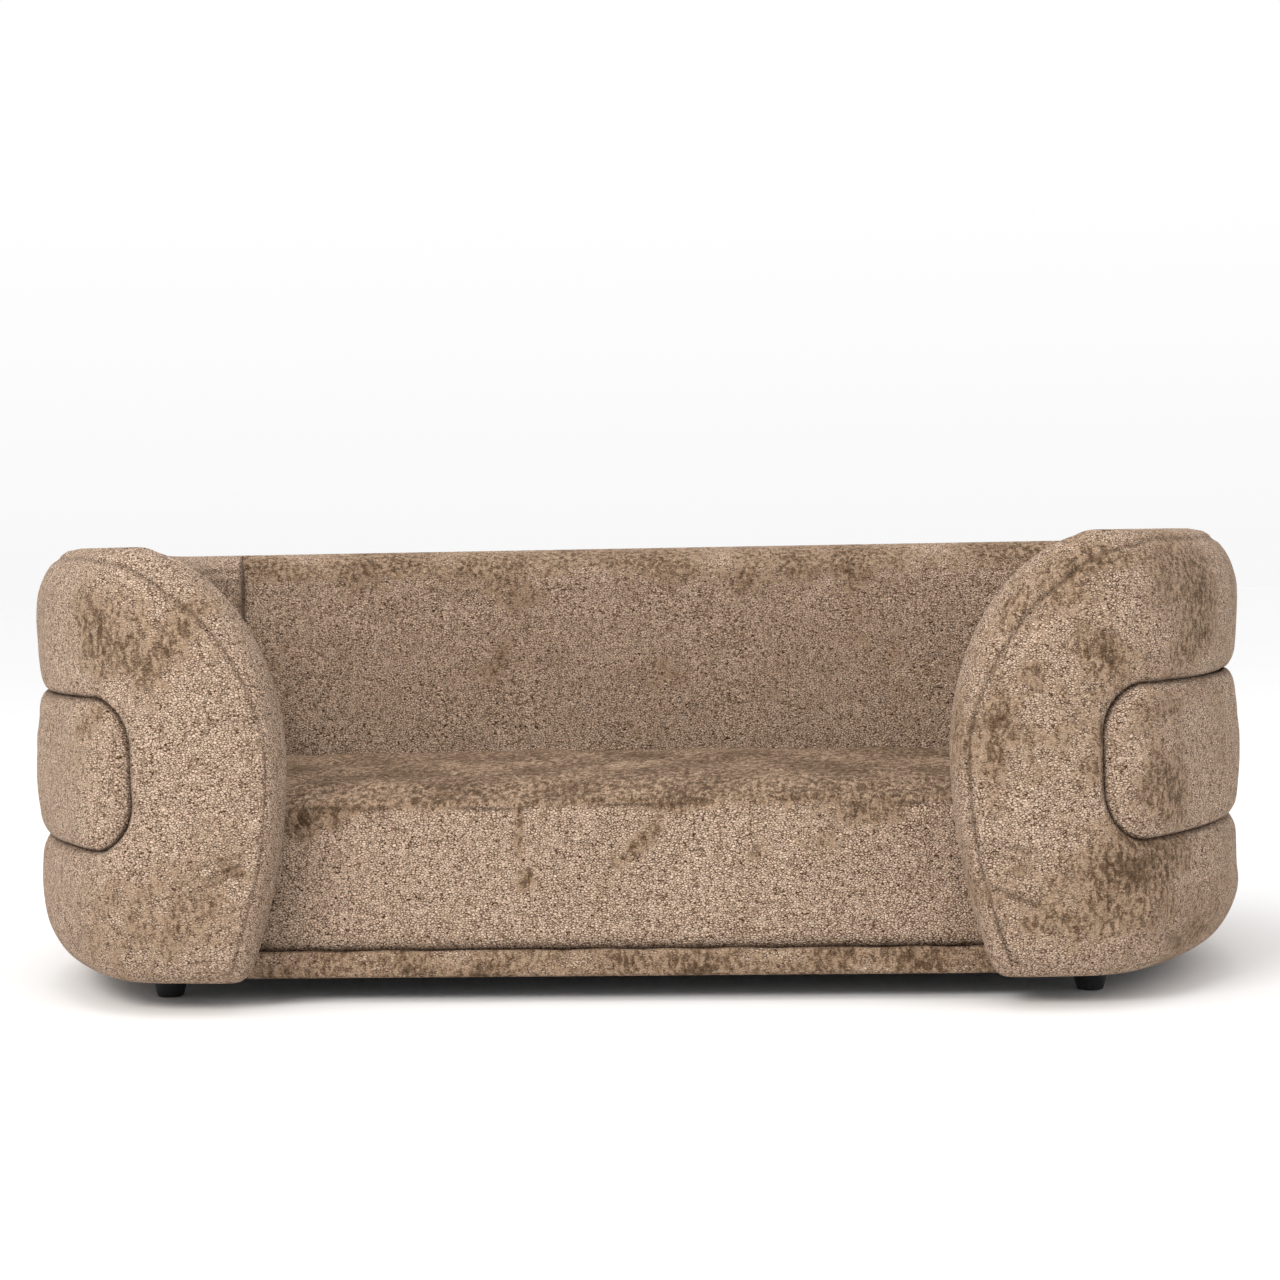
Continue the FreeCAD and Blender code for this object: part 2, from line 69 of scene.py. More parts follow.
# ---- plan of the padded wall, as the frame has it
FACE_START_X = 227.0  # the shield's inner end, where the unrolled wall starts
ARCS = (  # radius, heading at its start and end, in degrees; a radius of 0 closes the plan
    (1275.0, 0.0, 4.0),
    (78.0, 4.0, 55.0),
    (0.0, 55.0, 90.0),
    (700.0, 90.0, 106.0),
    (130.0, 106.0, 176.0),
    (0.0, 176.0, 180.0),
)
WIDEST, REAR_CORNER = 3, 4  # arcs that start at the widest point and at the rear corner
Y_FRONT = CAD_LOW.y / MM
HALF_WIDTH = CAD_HIGH.x / MM
TOP = CAD_HIGH.z / MM
BODY_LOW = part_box("dust_cover")[0].z / MM
BAND_MARGIN = 1.0  # how far the band's outline lies outside its CAD node
low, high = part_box("right_band")
BAND_LOW, BAND_HIGH = low.z / MM - BAND_MARGIN, high.z / MM + BAND_MARGIN
BAND_START_X = low.x / MM - BAND_MARGIN
BAND_HALF, BAND_MID = (BAND_HIGH - BAND_LOW) / 2, (BAND_LOW + BAND_HIGH) / 2
R_BAND_END = 36.0  # radius of the band's rounded end on the shield
WALL = 64.0  # thickness of the padded wall
Y_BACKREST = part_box("backrest_pad")[0].y / MM
BACK_SEAM_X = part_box("backrest_pad")[1].x / MM
INNER_SEAM_X = 349.0  # the back's inner panel reaches behind the arms' inner covers
INNER_SEAM_ANGLE = 27.0  # degrees round the rear corner at which the arm's inner cover ends
low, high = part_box("cushion_cover")
CUSHION_LOW, CUSHION_TOP = low.z / MM, high.z / MM
Y_CUSHION, Y_CUSHION_BACK = low.y / MM, high.y / MM

# Half-moon edge of a front shield
MOON_Z, MOON_TOP_X = 172.0, 340.0  # height of its innermost point, x of its crown
MOON_SAG = 30.0  # how far its foot lies outside the innermost point
FOOT_ROUND = 9.0  # radius of its lowest corner

# Padding
APEX = 34.0  # depth of the wall's rolled edge below the outer face
ROLL_OUT, ROLL_IN = 42.0, 24.0  # reach of the top's rounding, on the outer and the inner side
BOTTOM_OUT, BOTTOM_IN = 52.0, 12.0  # and of the bottom's
GROOVE, GROOVE_W = 9.0, 15.0  # depth and reach of the groove beside the band
UNDER_BAND = 7.0  # how much deeper the cover lies under the band
SEAM_V, SEAM_V_WIDTH = 5.0, 10.0  # depth and reach of the sewn-in upright seams
GROOVE_LINE, UPRIGHT_LINE = 1.6, 1.8  # widths of the dark lines in the grooves and upright seams, partly stitching and partly painted shade
SKIN = 0.8  # gap between a cover and what is inside it
REAR_DROP = 7.5  # how much lower the padded top is at the back than at the shields
BACK_TOP = TOP - REAR_DROP


def headings():
    """The arcs with their open radii filled in, as (radius, start, end) in radians."""
    x, made = FACE_START_X, []
    for r, a, b in ARCS:
        a, b = math.radians(a), math.radians(b)
        if r == 0.0 and b < math.pi * 0.6:
            r = (HALF_WIDTH - x) / (1 - math.sin(a))
        elif r == 0.0:
            r = x / math.sin(a)
        x += r * (math.sin(b) - math.sin(a))
        made.append((r, a, b))
    return made


PATH = headings()
LENGTHS = np.cumsum([0.0] + [r * (b - a) for r, a, b in PATH])


def arc_centres():
    """The centre (x, y) of each arc."""
    x, y, made = FACE_START_X, Y_FRONT, []
    for r, a, b in PATH:
        cx, cy = x - r * math.sin(a), y + r * math.cos(a)
        made.append((cx, cy))
        x, y = cx + r * math.sin(b), cy - r * math.cos(b)
    return made


CENTRES = arc_centres()


def plan(run, depth):
    """x and y at a run along the outer face from the shield's inner end, a depth below that face."""
    run, depth = np.broadcast_arrays(np.asarray(run, float), np.asarray(depth, float))
    x, y = np.zeros(run.shape), np.zeros(run.shape)
    for i, ((r, a, _), (cx, cy)) in enumerate(zip(PATH, CENTRES)):
        low = -np.inf if i == 0 else LENGTHS[i]
        high = np.inf if i == len(PATH) - 1 else LENGTHS[i + 1]
        here = (run >= low) & (run < high)
        h = a + (run[here] - LENGTHS[i]) / r
        x[here] = cx + (r - depth[here]) * np.sin(h)
        y[here] = cy - (r - depth[here]) * np.cos(h)
    return x, y


def run_at_x(x, rear):
    """The run at which the outer face has this x, on its front or its rear part."""
    widest = LENGTHS[WIDEST]
    runs = np.linspace(widest, LENGTHS[-1], 4000) if rear else np.linspace(0, widest, 4000)
    xs = plan(runs, 0)[0]
    order = np.argsort(xs)
    return np.interp(x, xs[order], runs[order])


BAND_RUN = float(run_at_x(BAND_START_X, False))
SEAM_RUN = float(run_at_x(BACK_SEAM_X, True))
INNER_SEAM_RUN = LENGTHS[REAR_CORNER] + PATH[REAR_CORNER][0] * math.radians(INNER_SEAM_ANGLE)
SEAM_SLANT = (SEAM_RUN - INNER_SEAM_RUN) / WALL
FAN_RUN = 172.0  # behind this run, columns stand upright; before it, they fan out to the half-moon


# ---- helpers
def quarter(distance, width):
    """Quarter of an ellipse: 0 at the edge, 1 from width inwards."""
    t = np.clip(distance / width, 0, 1)
    return np.sqrt(np.maximum(0, 1 - (1 - t) ** 2))


def smooth(t):
    """0 below 0, 1 above 1, and a soft step between."""
    t = np.clip(t, 0, 1)
    return t * t * (3 - 2 * t)


def bell(x, width):
    """1 at 0, falling off on both sides."""
    return np.exp(-((x / width) ** 2))


def graded(total, dense, dense_step, step):
    """Distances from 0 to total: fine steps over the first part, then coarse ones."""
    fine = np.arange(0, dense, dense_step)
    coarse = np.linspace(dense, total, max(2, round((total - dense) / step) + 1))
    return np.concatenate([fine, coarse])


def ripple(points, wavelength, seed, waves=9):
    """Smooth seeded unevenness, about -1 to 1, of points in millimetres."""
    rng = np.random.RandomState(seed)
    total = np.zeros(points.shape[:-1])
    for _ in range(waves):
        direction = rng.normal(size=points.shape[-1])
        direction *= 2 * math.pi / (wavelength * rng.uniform(0.7, 1.5) * np.linalg.norm(direction))
        total += np.sin(points @ direction + rng.uniform(0, 2 * math.pi))
    return total / math.sqrt(waves)


def uneven(points, *ripples):
    """Sum of ripples, each (amount, wavelength, seed)."""
    return sum(amount * ripple(points, wavelength, seed) for amount, wavelength, seed in ripples)


def strokes(p, marks):
    """Sum of soft oval marks, each (u, v, half-length, half-width, tilt in degrees, amount)."""
    total = np.zeros(p.shape[:-1])
    for u, v, long, wide, tilt, amount in marks:
        c, s = math.cos(math.radians(tilt)), math.sin(math.radians(tilt))
        du, dv = p[..., 0] - u, p[..., 1] - v
        total += amount * np.exp(-((du * c + dv * s) / long) ** 2 - ((dv * c - du * s) / wide) ** 2)
    return total


def crease(p, start, end, width, depth):
    """A valley along a straight line of the unrolled wall, shallow at its ends."""
    a, b = np.array(start, float), np.array(end, float)
    t = ((p - a) @ (b - a)) / ((b - a) @ (b - a))
    near = a + np.clip(t, 0, 1)[..., None] * (b - a)
    taper = smooth(np.clip(t + 0.25, 0, 1) / 0.5) * smooth((1.15 - t) / 0.4)
    return depth * bell(np.linalg.norm(p - near, axis=-1), width) * taper


def new_object(name, mesh):
    obj = bpy.data.objects.new(name, mesh)
    bpy.context.scene.collection.objects.link(obj)
    return obj


def paint(mesh, name, values):
    """Stores one number per vertex for the fabric's shader."""
    mesh.attributes.new(name, "FLOAT", "POINT").data.foreach_set("value", np.ravel(values))


SHARED_POINT, NO_LENGTH = 2e-5, 1e-6  # metres


def closed_plate(name, outer, inner, mirror=False, **fields):
    """Closed mesh from an outer and an inner grid, bridged along their edges.

    Each field holds shader values for the outer and the inner side.
    """
    n, m = outer.shape[:2]
    points = np.concatenate([outer.reshape(-1, 3), inner.reshape(-1, 3)]) * MM
    if mirror:
        points[:, 0] *= -1
    i, j = np.meshgrid(np.arange(n - 1), np.arange(m - 1), indexing="ij")
    a = (i * m + j).ravel()
    front = np.stack([a, a + m, a + m + 1, a + 1], 1)
    faces = [front, front[:, ::-1] + n * m]
    rims = [(start + np.arange(m - 1), 1) for start in (0, (n - 1) * m)]
    rims += [(start + np.arange(n - 1) * m, m) for start in (0, m - 1)]
    for k, step in rims:
        faces.append(np.stack([k, k + step, k + step + n * m, k + n * m], 1))
    mesh = bpy.data.meshes.new(name)
    mesh.from_pydata(points.tolist(), [], np.concatenate(faces).tolist())
    for field, sides in fields.items():
        paint(mesh, field, np.concatenate([np.broadcast_to(side, (n, m)) for side in sides]))
    bm = bmesh.new()
    bm.from_mesh(mesh)
    bmesh.ops.remove_doubles(bm, verts=bm.verts, dist=SHARED_POINT)
    bmesh.ops.dissolve_degenerate(bm, edges=bm.edges, dist=NO_LENGTH)
    bmesh.ops.recalc_face_normals(bm, faces=bm.faces)
    bm.to_mesh(mesh)
    bm.free()
    shade_smooth(mesh)
    return new_object(name, mesh)


# ---- material nodes
class Nodes:
    """Short calls for the node tree of a new material, or of the world."""

    def __init__(self, name, kind=bpy.data.materials, shader="Principled BSDF"):
        self.owner = kind.new(name)
        self.owner.use_nodes = True
        self.tree = self.owner.node_tree
        self.shader = self.tree.nodes[shader]

    def add(self, kind, **values):
        node = self.tree.nodes.new(kind)
        for key, value in values.items():
            if key in node.inputs:
                self.put(node.inputs[key], value)
            else:
                setattr(node, key, value)
        return node

    def put(self, socket, value):
        """Links an output to the socket, or sets the socket's own value; colours are opaque."""
        if isinstance(value, bpy.types.NodeSocket):
            self.tree.links.new(value, socket)
        else:
            socket.default_value = (*value, 1.0) if socket.type == "RGBA" else value

    def place(self, scale=(1.0, 1.0, 1.0)):
        """The object's own coordinates in metres, stretched."""
        coords = self.add("ShaderNodeTexCoord").outputs["Object"]
        return self.add("ShaderNodeMapping", Vector=coords, Scale=scale).outputs["Vector"]

    def noise(self, vector, scale, detail=2.0, roughness=0.5, distortion=0.0):
        node = self.add("ShaderNodeTexNoise", Vector=vector, Scale=scale, Detail=detail,
                        Roughness=roughness, Distortion=distortion)
        return node.outputs["Fac"]

    def cells(self, vector, scale, feature="F1"):
        return self.add("ShaderNodeTexVoronoi", feature=feature, Vector=vector, Scale=scale)

    def span(self, value, low, high, to_low=0.0, to_high=1.0):
        numbers = {"Value": value, "From Min": low, "From Max": high, "To Min": to_low, "To Max": to_high}
        return self.add("ShaderNodeMapRange", interpolation_type="SMOOTHSTEP", **numbers).outputs["Result"]

    def math(self, operation, a, b):
        node = self.add("ShaderNodeMath", operation=operation)
        self.put(node.inputs[0], a)
        self.put(node.inputs[1], b)
        return node.outputs[0]

    def plus(self, a, b, factor):
        """a + b * factor."""
        return self.math("ADD", a, self.math("MULTIPLY", b, factor))

    def around(self, value, amount):
        """The value's distance from a half, times an amount."""
        return self.math("MULTIPLY", self.math("SUBTRACT", value, 0.5), amount)

    def mix(self, factor, a, b):
        node = self.add("ShaderNodeMix", data_type="RGBA")
        self.put(node.inputs["Factor"], factor)
        self.put(node.inputs[6], a)
        self.put(node.inputs[7], b)
        return node.outputs[2]

    def attribute(self, name):
        return self.add("ShaderNodeAttribute", attribute_name=name).outputs["Fac"]

    def shade(self, **values):
        """The material, with inputs of its shader set; an underscore stands for a space."""
        for key, value in values.items():
            self.put(self.shader.inputs[key.replace("_", " ")], value)
        return self.owner

    def bump(self, height, strength, relief):
        """The normal of a surface with hollows up to relief metres deep."""
        node = self.add("ShaderNodeBump", Height=height, Strength=strength, Distance=relief)
        return node.outputs["Normal"]


# A tuft's crown; its flank and the gap between tufts, darker partly in their own tone and partly as painted
# shade; and the pile's light, dim and deepest tones
TUFT, TUFT_FLANK_SHADE, CRACK_SHADE = (0.86, 0.645, 0.490), (0.43, 0.292, 0.200), (0.050, 0.024, 0.012)
PILE, PILE_DIM, PILE_DEEP = (0.455, 0.303, 0.190), (0.210, 0.126, 0.066), (0.072, 0.037, 0.016)
TUFT_LONG, TUFT_HIGH = 2.15, 1.4  # mm
TUFTS = 1000.0  # cells per metre before the weave is stretched to the tufts' size in mm
TUFT_WANDER = (0.0009, 0.0009, 0.0008)  # how far the tufts leave their rows
PILE_SHARE = 0.65  # how much of the brushed cloth's colour is pile, not tufts
AWAY_AND_SHADE_SHARE = 0.74  # how dark the pile gets where it lies away, and where it stands for painted shade
TUFT_RELIEF = 0.0014  # metres
SEAT_LAY = 0.45  # the seat's pile is stroked from front to back


def chenille(name="chenille", lay=1.0):
    """Crushed chenille: tufts in rough rows with dark gaps, partly painted shade, and smoother, darker pile
    where brushing laid it.

    The attribute that the pieces paint runs from 0, pile raised, over 1, pile flat, to 2, pile lying away
    from the light; some of its values are painted shade, on the seat's top, the arms' lower parts and the
    right side.
    A lay below 1 draws the strokes of the pile out from front to back.
    """
    m = Nodes(name)
    # unevenness, from coarse to fine
    medium = m.noise(m.place((1.0, lay, 1.2)), 70.0, 3.0, 0.6, 0.8)
    blotch = m.noise(m.place((1.0, lay, 0.6)), 260.0, 3.0, 0.7, 0.4)
    fine = m.noise(m.place((0.6, 0.6 * lay, 1.3)), 560.0, 3.0, 0.8)
    # tufts: cells in wandering rows, dark where they meet
    weave = m.place((1 / TUFT_LONG, lay / TUFT_LONG, 1 / TUFT_HIGH))
    wander = m.add("ShaderNodeTexNoise", Vector=weave, Scale=420.0, Detail=1.0)
    shifted = m.add("ShaderNodeVectorMath", operation="MULTIPLY_ADD")
    m.put(shifted.inputs[0], wander.outputs["Color"])
    m.put(shifted.inputs[1], TUFT_WANDER)
    m.put(shifted.inputs[2], weave)
    tufts = m.cells(shifted.outputs[0], TUFTS)
    gaps = m.cells(shifted.outputs[0], TUFTS, "DISTANCE_TO_EDGE")
    # tufts: cells in wandering rows, lightest at their crowns and dark where they meet, partly their own tone
    # and partly painted shade
    height = m.math("ADD", gaps.outputs["Distance"], m.around(fine, 0.5))
    tone = m.plus(m.math("MULTIPLY", tufts.outputs["Color"], 0.3), blotch, 0.8)
    tuft = m.mix(m.span(m.math("ADD", tone, height), 0.50, 0.88), TUFT_FLANK_SHADE, TUFT)
    tuft = m.mix(m.span(height, 0.0, 0.12), CRACK_SHADE, tuft)
    # pile: mottled in three tones
    mottled = m.plus(m.math("MULTIPLY", medium, 0.3), fine, 0.5)
    mottled = m.plus(mottled, blotch, 1.5)
    pile = m.mix(m.span(mottled, 1.08, 1.26), PILE_DIM, PILE)
    pile = m.mix(m.span(mottled, 0.90, 1.06), PILE_DEEP, pile)
    # patches of flat pile with ragged borders, darkest where the pile lies away; some of these are painted
    # shade
    ragged = m.math("ADD", m.attribute("brushed"), m.around(medium, 1.5))
    ragged = m.math("ADD", ragged, m.around(blotch, 1.7))
    brushed = m.span(ragged, 0.40, 0.90)
    cloth = m.mix(m.math("MULTIPLY", brushed, PILE_SHARE), tuft, pile)
    # above 1 the pile darkens towards its deepest tone: pile lying away, and on the seat's top painted shade
    away = m.math("SUBTRACT", ragged, m.math("MULTIPLY", mottled, 3.0))
    cloth = m.mix(m.span(away, -2.95, -1.45, 0.0, AWAY_AND_SHADE_SHARE), cloth, PILE_DEEP)
    # dark lines along seams, grooves and creases, dotted like stitches: partly stitching and parted pile,
    # partly painted shade
    stitch_and_shade = m.math("MULTIPLY", m.attribute("seam"), m.span(fine, 0.38, 0.58, 0.3, 1.0))
    relief = m.plus(m.span(height, -0.05, 0.45), fine, 0.5)
    return m.shade(Base_Color=m.mix(stitch_and_shade, cloth, CRACK_SHADE), Roughness=m.span(brushed, 0.0, 1.0, 0.97, 0.80),
                   Specular_IOR_Level=0.05, Sheen_Weight=0.06, Sheen_Roughness=0.35,
                   Sheen_Tint=(1.0, 0.92, 0.84), Normal=m.bump(relief, 1.0, TUFT_RELIEF))


WAVES_PER_METRE = 314.16 / 2  # a wave texture's scale for bands 1 mm apart


def plywood():
    """Pale birch plywood: long grain, and dark plies where the edge is cut."""
    m = Nodes("plywood")
    grain = m.noise(m.place((6.0, 60.0, 60.0)), 3.0, 6.0, 0.6, 1.2)
    plies = m.add("ShaderNodeTexWave", bands_direction="Z", Vector=m.place(), Scale=110.0, Distortion=0.6)
    wood = m.mix(grain, (0.60, 0.42, 0.24), (0.80, 0.64, 0.43))
    layered = m.mix(m.math("MULTIPLY", plies.outputs["Fac"], 0.35), wood, (0.42, 0.27, 0.14))
    return m.shade(Base_Color=layered, Roughness=m.span(grain, 0.2, 0.8, 0.55, 0.75),
                   Normal=m.bump(grain, 0.2, 0.0004))


def foam():
    """Open-celled cushion foam, a little yellowed."""
    m = Nodes("foam")
    pores = m.cells(m.place(), 650.0).outputs["Distance"]
    shade = m.noise(m.place(), 12.0, 3.0)
    base = m.mix(shade, (0.80, 0.75, 0.58), (0.88, 0.85, 0.72))
    cells = m.mix(m.span(pores, 0.1, 0.5), (0.55, 0.50, 0.36), base)
    return m.shade(Base_Color=cells, Roughness=0.9, Normal=m.bump(pores, 0.4, 0.0006))


def moulded(name, dark, light, grain_size, roughness):
    """Moulded plastic with a fine spark-eroded grain, its size in mm."""
    m = Nodes(name)
    grain = m.noise(m.place(), 1000.0 / grain_size, 3.0, 0.6)
    wear = m.noise(m.place(), 45.0, 4.0, 0.7)
    return m.shade(Base_Color=m.mix(m.span(wear, 0.4, 0.8), dark, light),
                   Roughness=m.span(wear, 0.3, 0.7, roughness - 0.08, roughness + 0.12),
                   Normal=m.bump(grain, 0.25, 0.0002))


def metal(name, base, roughness):
    """Drawn or plated metal with fine lines and a little tarnish."""
    m = Nodes(name)
    lines = m.noise(m.place((40.0, 900.0, 900.0)), 1.0, 4.0, 0.6)
    tarnish = m.noise(m.place(), 160.0, 4.0, 0.6)
    dull = [c * 0.55 for c in base]
    return m.shade(Base_Color=m.mix(m.span(tarnish, 0.45, 0.75), base, dull), Metallic=1.0,
                   Roughness=m.span(lines, 0.3, 0.7, roughness - 0.08, roughness + 0.1),
                   Normal=m.bump(lines, 0.1, 0.0001))


def nonwoven(name, dark, light, dot):
    """Spun-bonded cloth with pressed dots, dot mm apart, and stray fibres."""
    m = Nodes(name)
    dots = m.cells(m.place(), 1000.0 / dot).outputs["Distance"]
    fibres = m.noise(m.place(), 420.0, 6.0, 0.75, 1.5)
    relief = m.plus(m.span(dots, 0.15, 0.45), fibres, 0.6)
    return m.shade(Base_Color=m.mix(fibres, dark, light),
                   Roughness=m.span(dots, 0.1, 0.6, 0.6, 0.92), Normal=m.bump(relief, 0.5, 0.0004))


def ribbed(name, base, rib, roughness):
    """Woven tape or a zip's coil: ribs across its length, rib mm apart."""
    m = Nodes(name)
    ribs = m.add("ShaderNodeTexWave", bands_direction="X", Vector=m.place(), Distortion=0.3,
                 Scale=WAVES_PER_METRE / rib)
    dark = [c * 0.45 for c in base]
    return m.shade(Base_Color=m.mix(ribs.outputs["Fac"], dark, base), Roughness=roughness,
                   Normal=m.bump(ribs.outputs["Fac"], 0.8, 0.0005))


# ---- the unrolled wall
def moon_curve(count=600):
    """(run, z) along the half-moon edge from its foot to its crown, evenly spaced."""
    z = np.concatenate([np.linspace(BODY_LOW, MOON_Z, 200), np.linspace(MOON_Z, TOP, 1200)[1:]])
    upper = np.sqrt(np.maximum(0, 1 - ((z - MOON_Z) / (TOP - MOON_Z)) ** 2))
    x_upper = MOON_TOP_X - (MOON_TOP_X - FACE_START_X) * upper
    x_lower = FACE_START_X + MOON_SAG * ((MOON_Z - z) / (MOON_Z - BODY_LOW)) ** 2
    x_lower += FOOT_ROUND * (1 - quarter(z - BODY_LOW, FOOT_ROUND))
    run = run_at_x(np.where(z > MOON_Z, x_upper, x_lower), False)
    length = np.concatenate([[0], np.cumsum(np.hypot(np.diff(run), np.diff(z)))])
    even = np.linspace(0, length[-1], count)
    return np.stack([np.interp(even, length, run), np.interp(even, length, z)], 1)


MOON = moon_curve()


def wall_rows(top):
    """Heights of the rows, close together at the rolled edges and beside the band."""
    reach = 18.0
    low = BODY_LOW + graded(BAND_LOW - BODY_LOW - reach, 14, 1.6, 2.0)
    high = top - graded(top - BAND_HIGH - reach, 30, 1.7, 4.0)
    beside = [edge + side * np.arange(0, reach, 1.8) for edge in (BAND_LOW, BAND_HIGH) for side in (-1, 1)]
    middle = np.linspace(BAND_LOW + 20, BAND_HIGH - 20, 15)
    return np.unique(np.round(np.concatenate([low, high, middle] + beside), 3))


def seam_valley(distance):
    """Depth beside a sewn-in upright seam."""
    return SEAM_V * (1 - quarter(distance, SEAM_V_WIDTH))


def band_rows():
    """Heights of the band's own rows, close together along its edges."""
    rise = graded(BAND_HALF, 18, 1.5, 4.0)
    return np.unique(np.round(np.concatenate([BAND_LOW + rise, BAND_HIGH - rise]), 3))


def fanned_grid(rows, turn, reach, end, steps):
    """(run, z) grid: upright columns from the rear seam to turn, then a fan of them to the end curve."""
    upright = SEAM_RUN - graded(SEAM_RUN - turn, 10, 1.6, 4.2)
    fan = 1 - graded(reach, *steps)[::-1] / reach
    wall = np.stack(np.meshgrid(upright[:-1], rows, indexing="ij"), -1)
    start = np.stack([np.full(len(rows), turn), rows], 1)
    front = start[None] * (1 - fan)[:, None, None] + end[None] * fan[:, None, None]
    return np.concatenate([wall, front])


def join_edges(outer, inner, edges):
    """Brings the two grids together along the given edges."""
    shared = (outer + inner) / 2
    for edge in edges:
        outer[edge] = inner[edge] = shared[edge]


def band_distance(run, z):
    """Signed distance to the band's outline on the unrolled wall, negative inside."""
    qx = BAND_RUN + R_BAND_END - run
    qz = np.abs(z - BAND_MID) - (BAND_HALF - R_BAND_END)
    outside = np.hypot(np.maximum(qx, 0), np.maximum(qz, 0))
    return outside + np.minimum(np.maximum(qx, qz), 0) - R_BAND_END


def groove(s):
    """Depth of the cover at a distance outside the band, and under it."""
    return GROOVE * (1 - quarter(s, GROOVE_W)) + UNDER_BAND * smooth(-s / 5.0)


def tiers(z, top, upper, lower):
    """How far the tiers above and below the band bulge."""
    above = np.clip((z - BAND_HIGH) / (top - BAND_HIGH), 0, 1)
    below = np.clip((z - BODY_LOW) / (BAND_LOW - BODY_LOW), 0, 1)
    return upper * np.sin(np.pi * above) + lower * np.sin(np.pi * below)


EDGE_PLACES = (0.0, 0.30, 0.48, 0.68, 0.85, 1.0)  # along the half-moon, foot to crown
EDGE_WIDTHS = {  # how far the edge's rounding reaches into the face, there
    "left": (9.0, 6.0, 7.0, 15.0, 22.0, 30.0),
    "right": (13.0, 11.0, 12.0, 22.0, 29.0, 34.0),
}
SEAM_PLACES = {  # how far the boxing strip's seam lies from the edge, there
    "left": (9.0, 6.0, 7.0, 15.0, 19.0, 12.0),
    "right": (13.0, 11.0, 12.0, 21.0, 23.0, 14.0),
}
TOP_SEAM = 7.5  # and along the wall's top
TOP_LINE_END = 1200.0  # a run beyond the rear seam
CHUNK = 2000  # points measured at once


def edge_fields(p, side):
    """Distance to the edge, the width of its rounding, its seam's distance from it, and the place on it.

    The place runs from 0 to 1 along the half-moon, and on along the top.
    """
    top_line = np.stack([np.linspace(MOON[-1, 0], TOP_LINE_END, 500)[1:], np.full(499, TOP)], 1)
    edge = np.concatenate([MOON, top_line])
    along = np.concatenate([np.linspace(0, 1, len(MOON)), 1 + (top_line[:, 0] - MOON[-1, 0]) / 100])
    flat = p.reshape(-1, 2)
    best, where = np.full(len(flat), np.inf), np.zeros(len(flat))
    for start in range(0, len(flat), CHUNK):
        part = flat[start:start + CHUNK]
        gaps = ((part[:, None, :] - edge[None]) ** 2).sum(-1)
        best[start:start + CHUNK] = np.sqrt(gaps.min(1))
        where[start:start + CHUNK] = along[gaps.argmin(1)]
    distance, where = best.reshape(p.shape[:-1]), where.reshape(p.shape[:-1])
    width = np.interp(where, EDGE_PLACES + (1.6,), EDGE_WIDTHS[side] + (ROLL_OUT,))
    seam = np.interp(where, EDGE_PLACES + (1.5,), SEAM_PLACES[side] + (TOP_SEAM,))
    return distance, width, seam, where


CREASES = {  # on the unrolled wall: start, end, width, depth
    "left": (((23, 105), (50, 94), 2.4, 3.0), ((20, 112), (60, 101), 2.4, 1.8),
             ((26, 98), (62, 85), 2.4, 1.6), ((20, 122), (50, 114), 2.6, 1.2),
             ((6, 205), (34, 201), 4.0, 1.3), ((4, 150), (30, 146), 4.0, 1.2),
             ((150, 60), (190, 38), 6.0, 1.6)),
    "right": (((30, 82), (58, 70), 2.4, 3.4), ((16, 115), (58, 106), 2.4, 2.0),
              ((18, 108), (46, 101), 2.4, 1.5), ((6, 190), (40, 196), 5.0, 1.3),
              ((10, 128), (36, 130), 4.0, 1.3), ((150, 50), (196, 34), 6.0, 1.6)),
}


# Brushed patches on a shield, the wide low ones partly painted shade that darkens it towards the bottom: |x|,
# height, half-length, half-width, tilt, amount
SHIELD_PATCHES_AND_SHADE = {
    "left": ((333, 262, 34, 28, 0, 0.58), (360, 270, 34, 14, 80, 0.55), (290, 264, 44, 11, -51, 0.50),
             (294, 252, 22, 16, 0, 0.35), (312, 222, 26, 16, 60, 0.35), (333, 172, 40, 8, 90, 0.35),
             (354, 84, 34, 18, 0, 0.15), (254, 99, 9, 3, 20, 1.0), (320, 56, 70, 36, 0, 0.50)),
    "right": ((388, 284, 32, 26, 0, 0.70), (397, 246, 24, 16, 60, 0.60), (326, 240, 20, 14, -40, 1.10),
              (282, 226, 15, 9, 0, 0.50), (264, 262, 26, 11, 60, 0.55), (300, 276, 32, 15, 45, 0.50),
              (330, 300, 42, 9, 8, 0.40), (257, 178, 44, 7, 88, 0.55), (316, 166, 32, 22, 0, 0.30),
              (352, 98, 44, 18, 12, 0.72), (340, 78, 34, 30, 60, 0.62), (300, 57, 36, 12, 0, 0.60),
              (384, 60, 30, 26, 0, 0.40), (310, 190, 60, 40, 0, 0.12)),
}
BAND_PATCHES = {
    "left": ((352, 205, 24, 9, -35, 0.55), (366, 180, 16, 20, 0, 0.25)),
    "right": ((377, 203, 26, 10, 12, 0.60), (366, 152, 34, 30, 0, 0.50), (352, 190, 14, 14, 0, 0.30)),
}


FRONT_REACH, FRONT_FADE = 90, 70  # the patches are painted this far back, and fade out over the rest
BRUSHED_AND_SHADE = {"left": 0.20, "right": 0.42}  # how flat the outer covers' pile lies between the patches; the right's higher value is partly painted shade, on the side away from the key light
# the band's right value is higher too, partly painted shade
BRUSHED_BAND_AND_SHADE = {"left": 0.24, "right": 0.34}
BRUSHED_INSIDE = 0.04


def brushed_field(p, patches, base, seed):
    """How flat the pile is, with painted shade in some patches and on the right side: patches of the front
    view, and slow unevenness everywhere.
    """
    front = 1 - smooth((p[..., 1] - Y_FRONT - FRONT_REACH) / FRONT_FADE)
    slow = uneven(p, (0.16, 80, seed), (0.10, 33, seed + 1))
    return base + front * strokes(p[..., ::2], patches) + slow


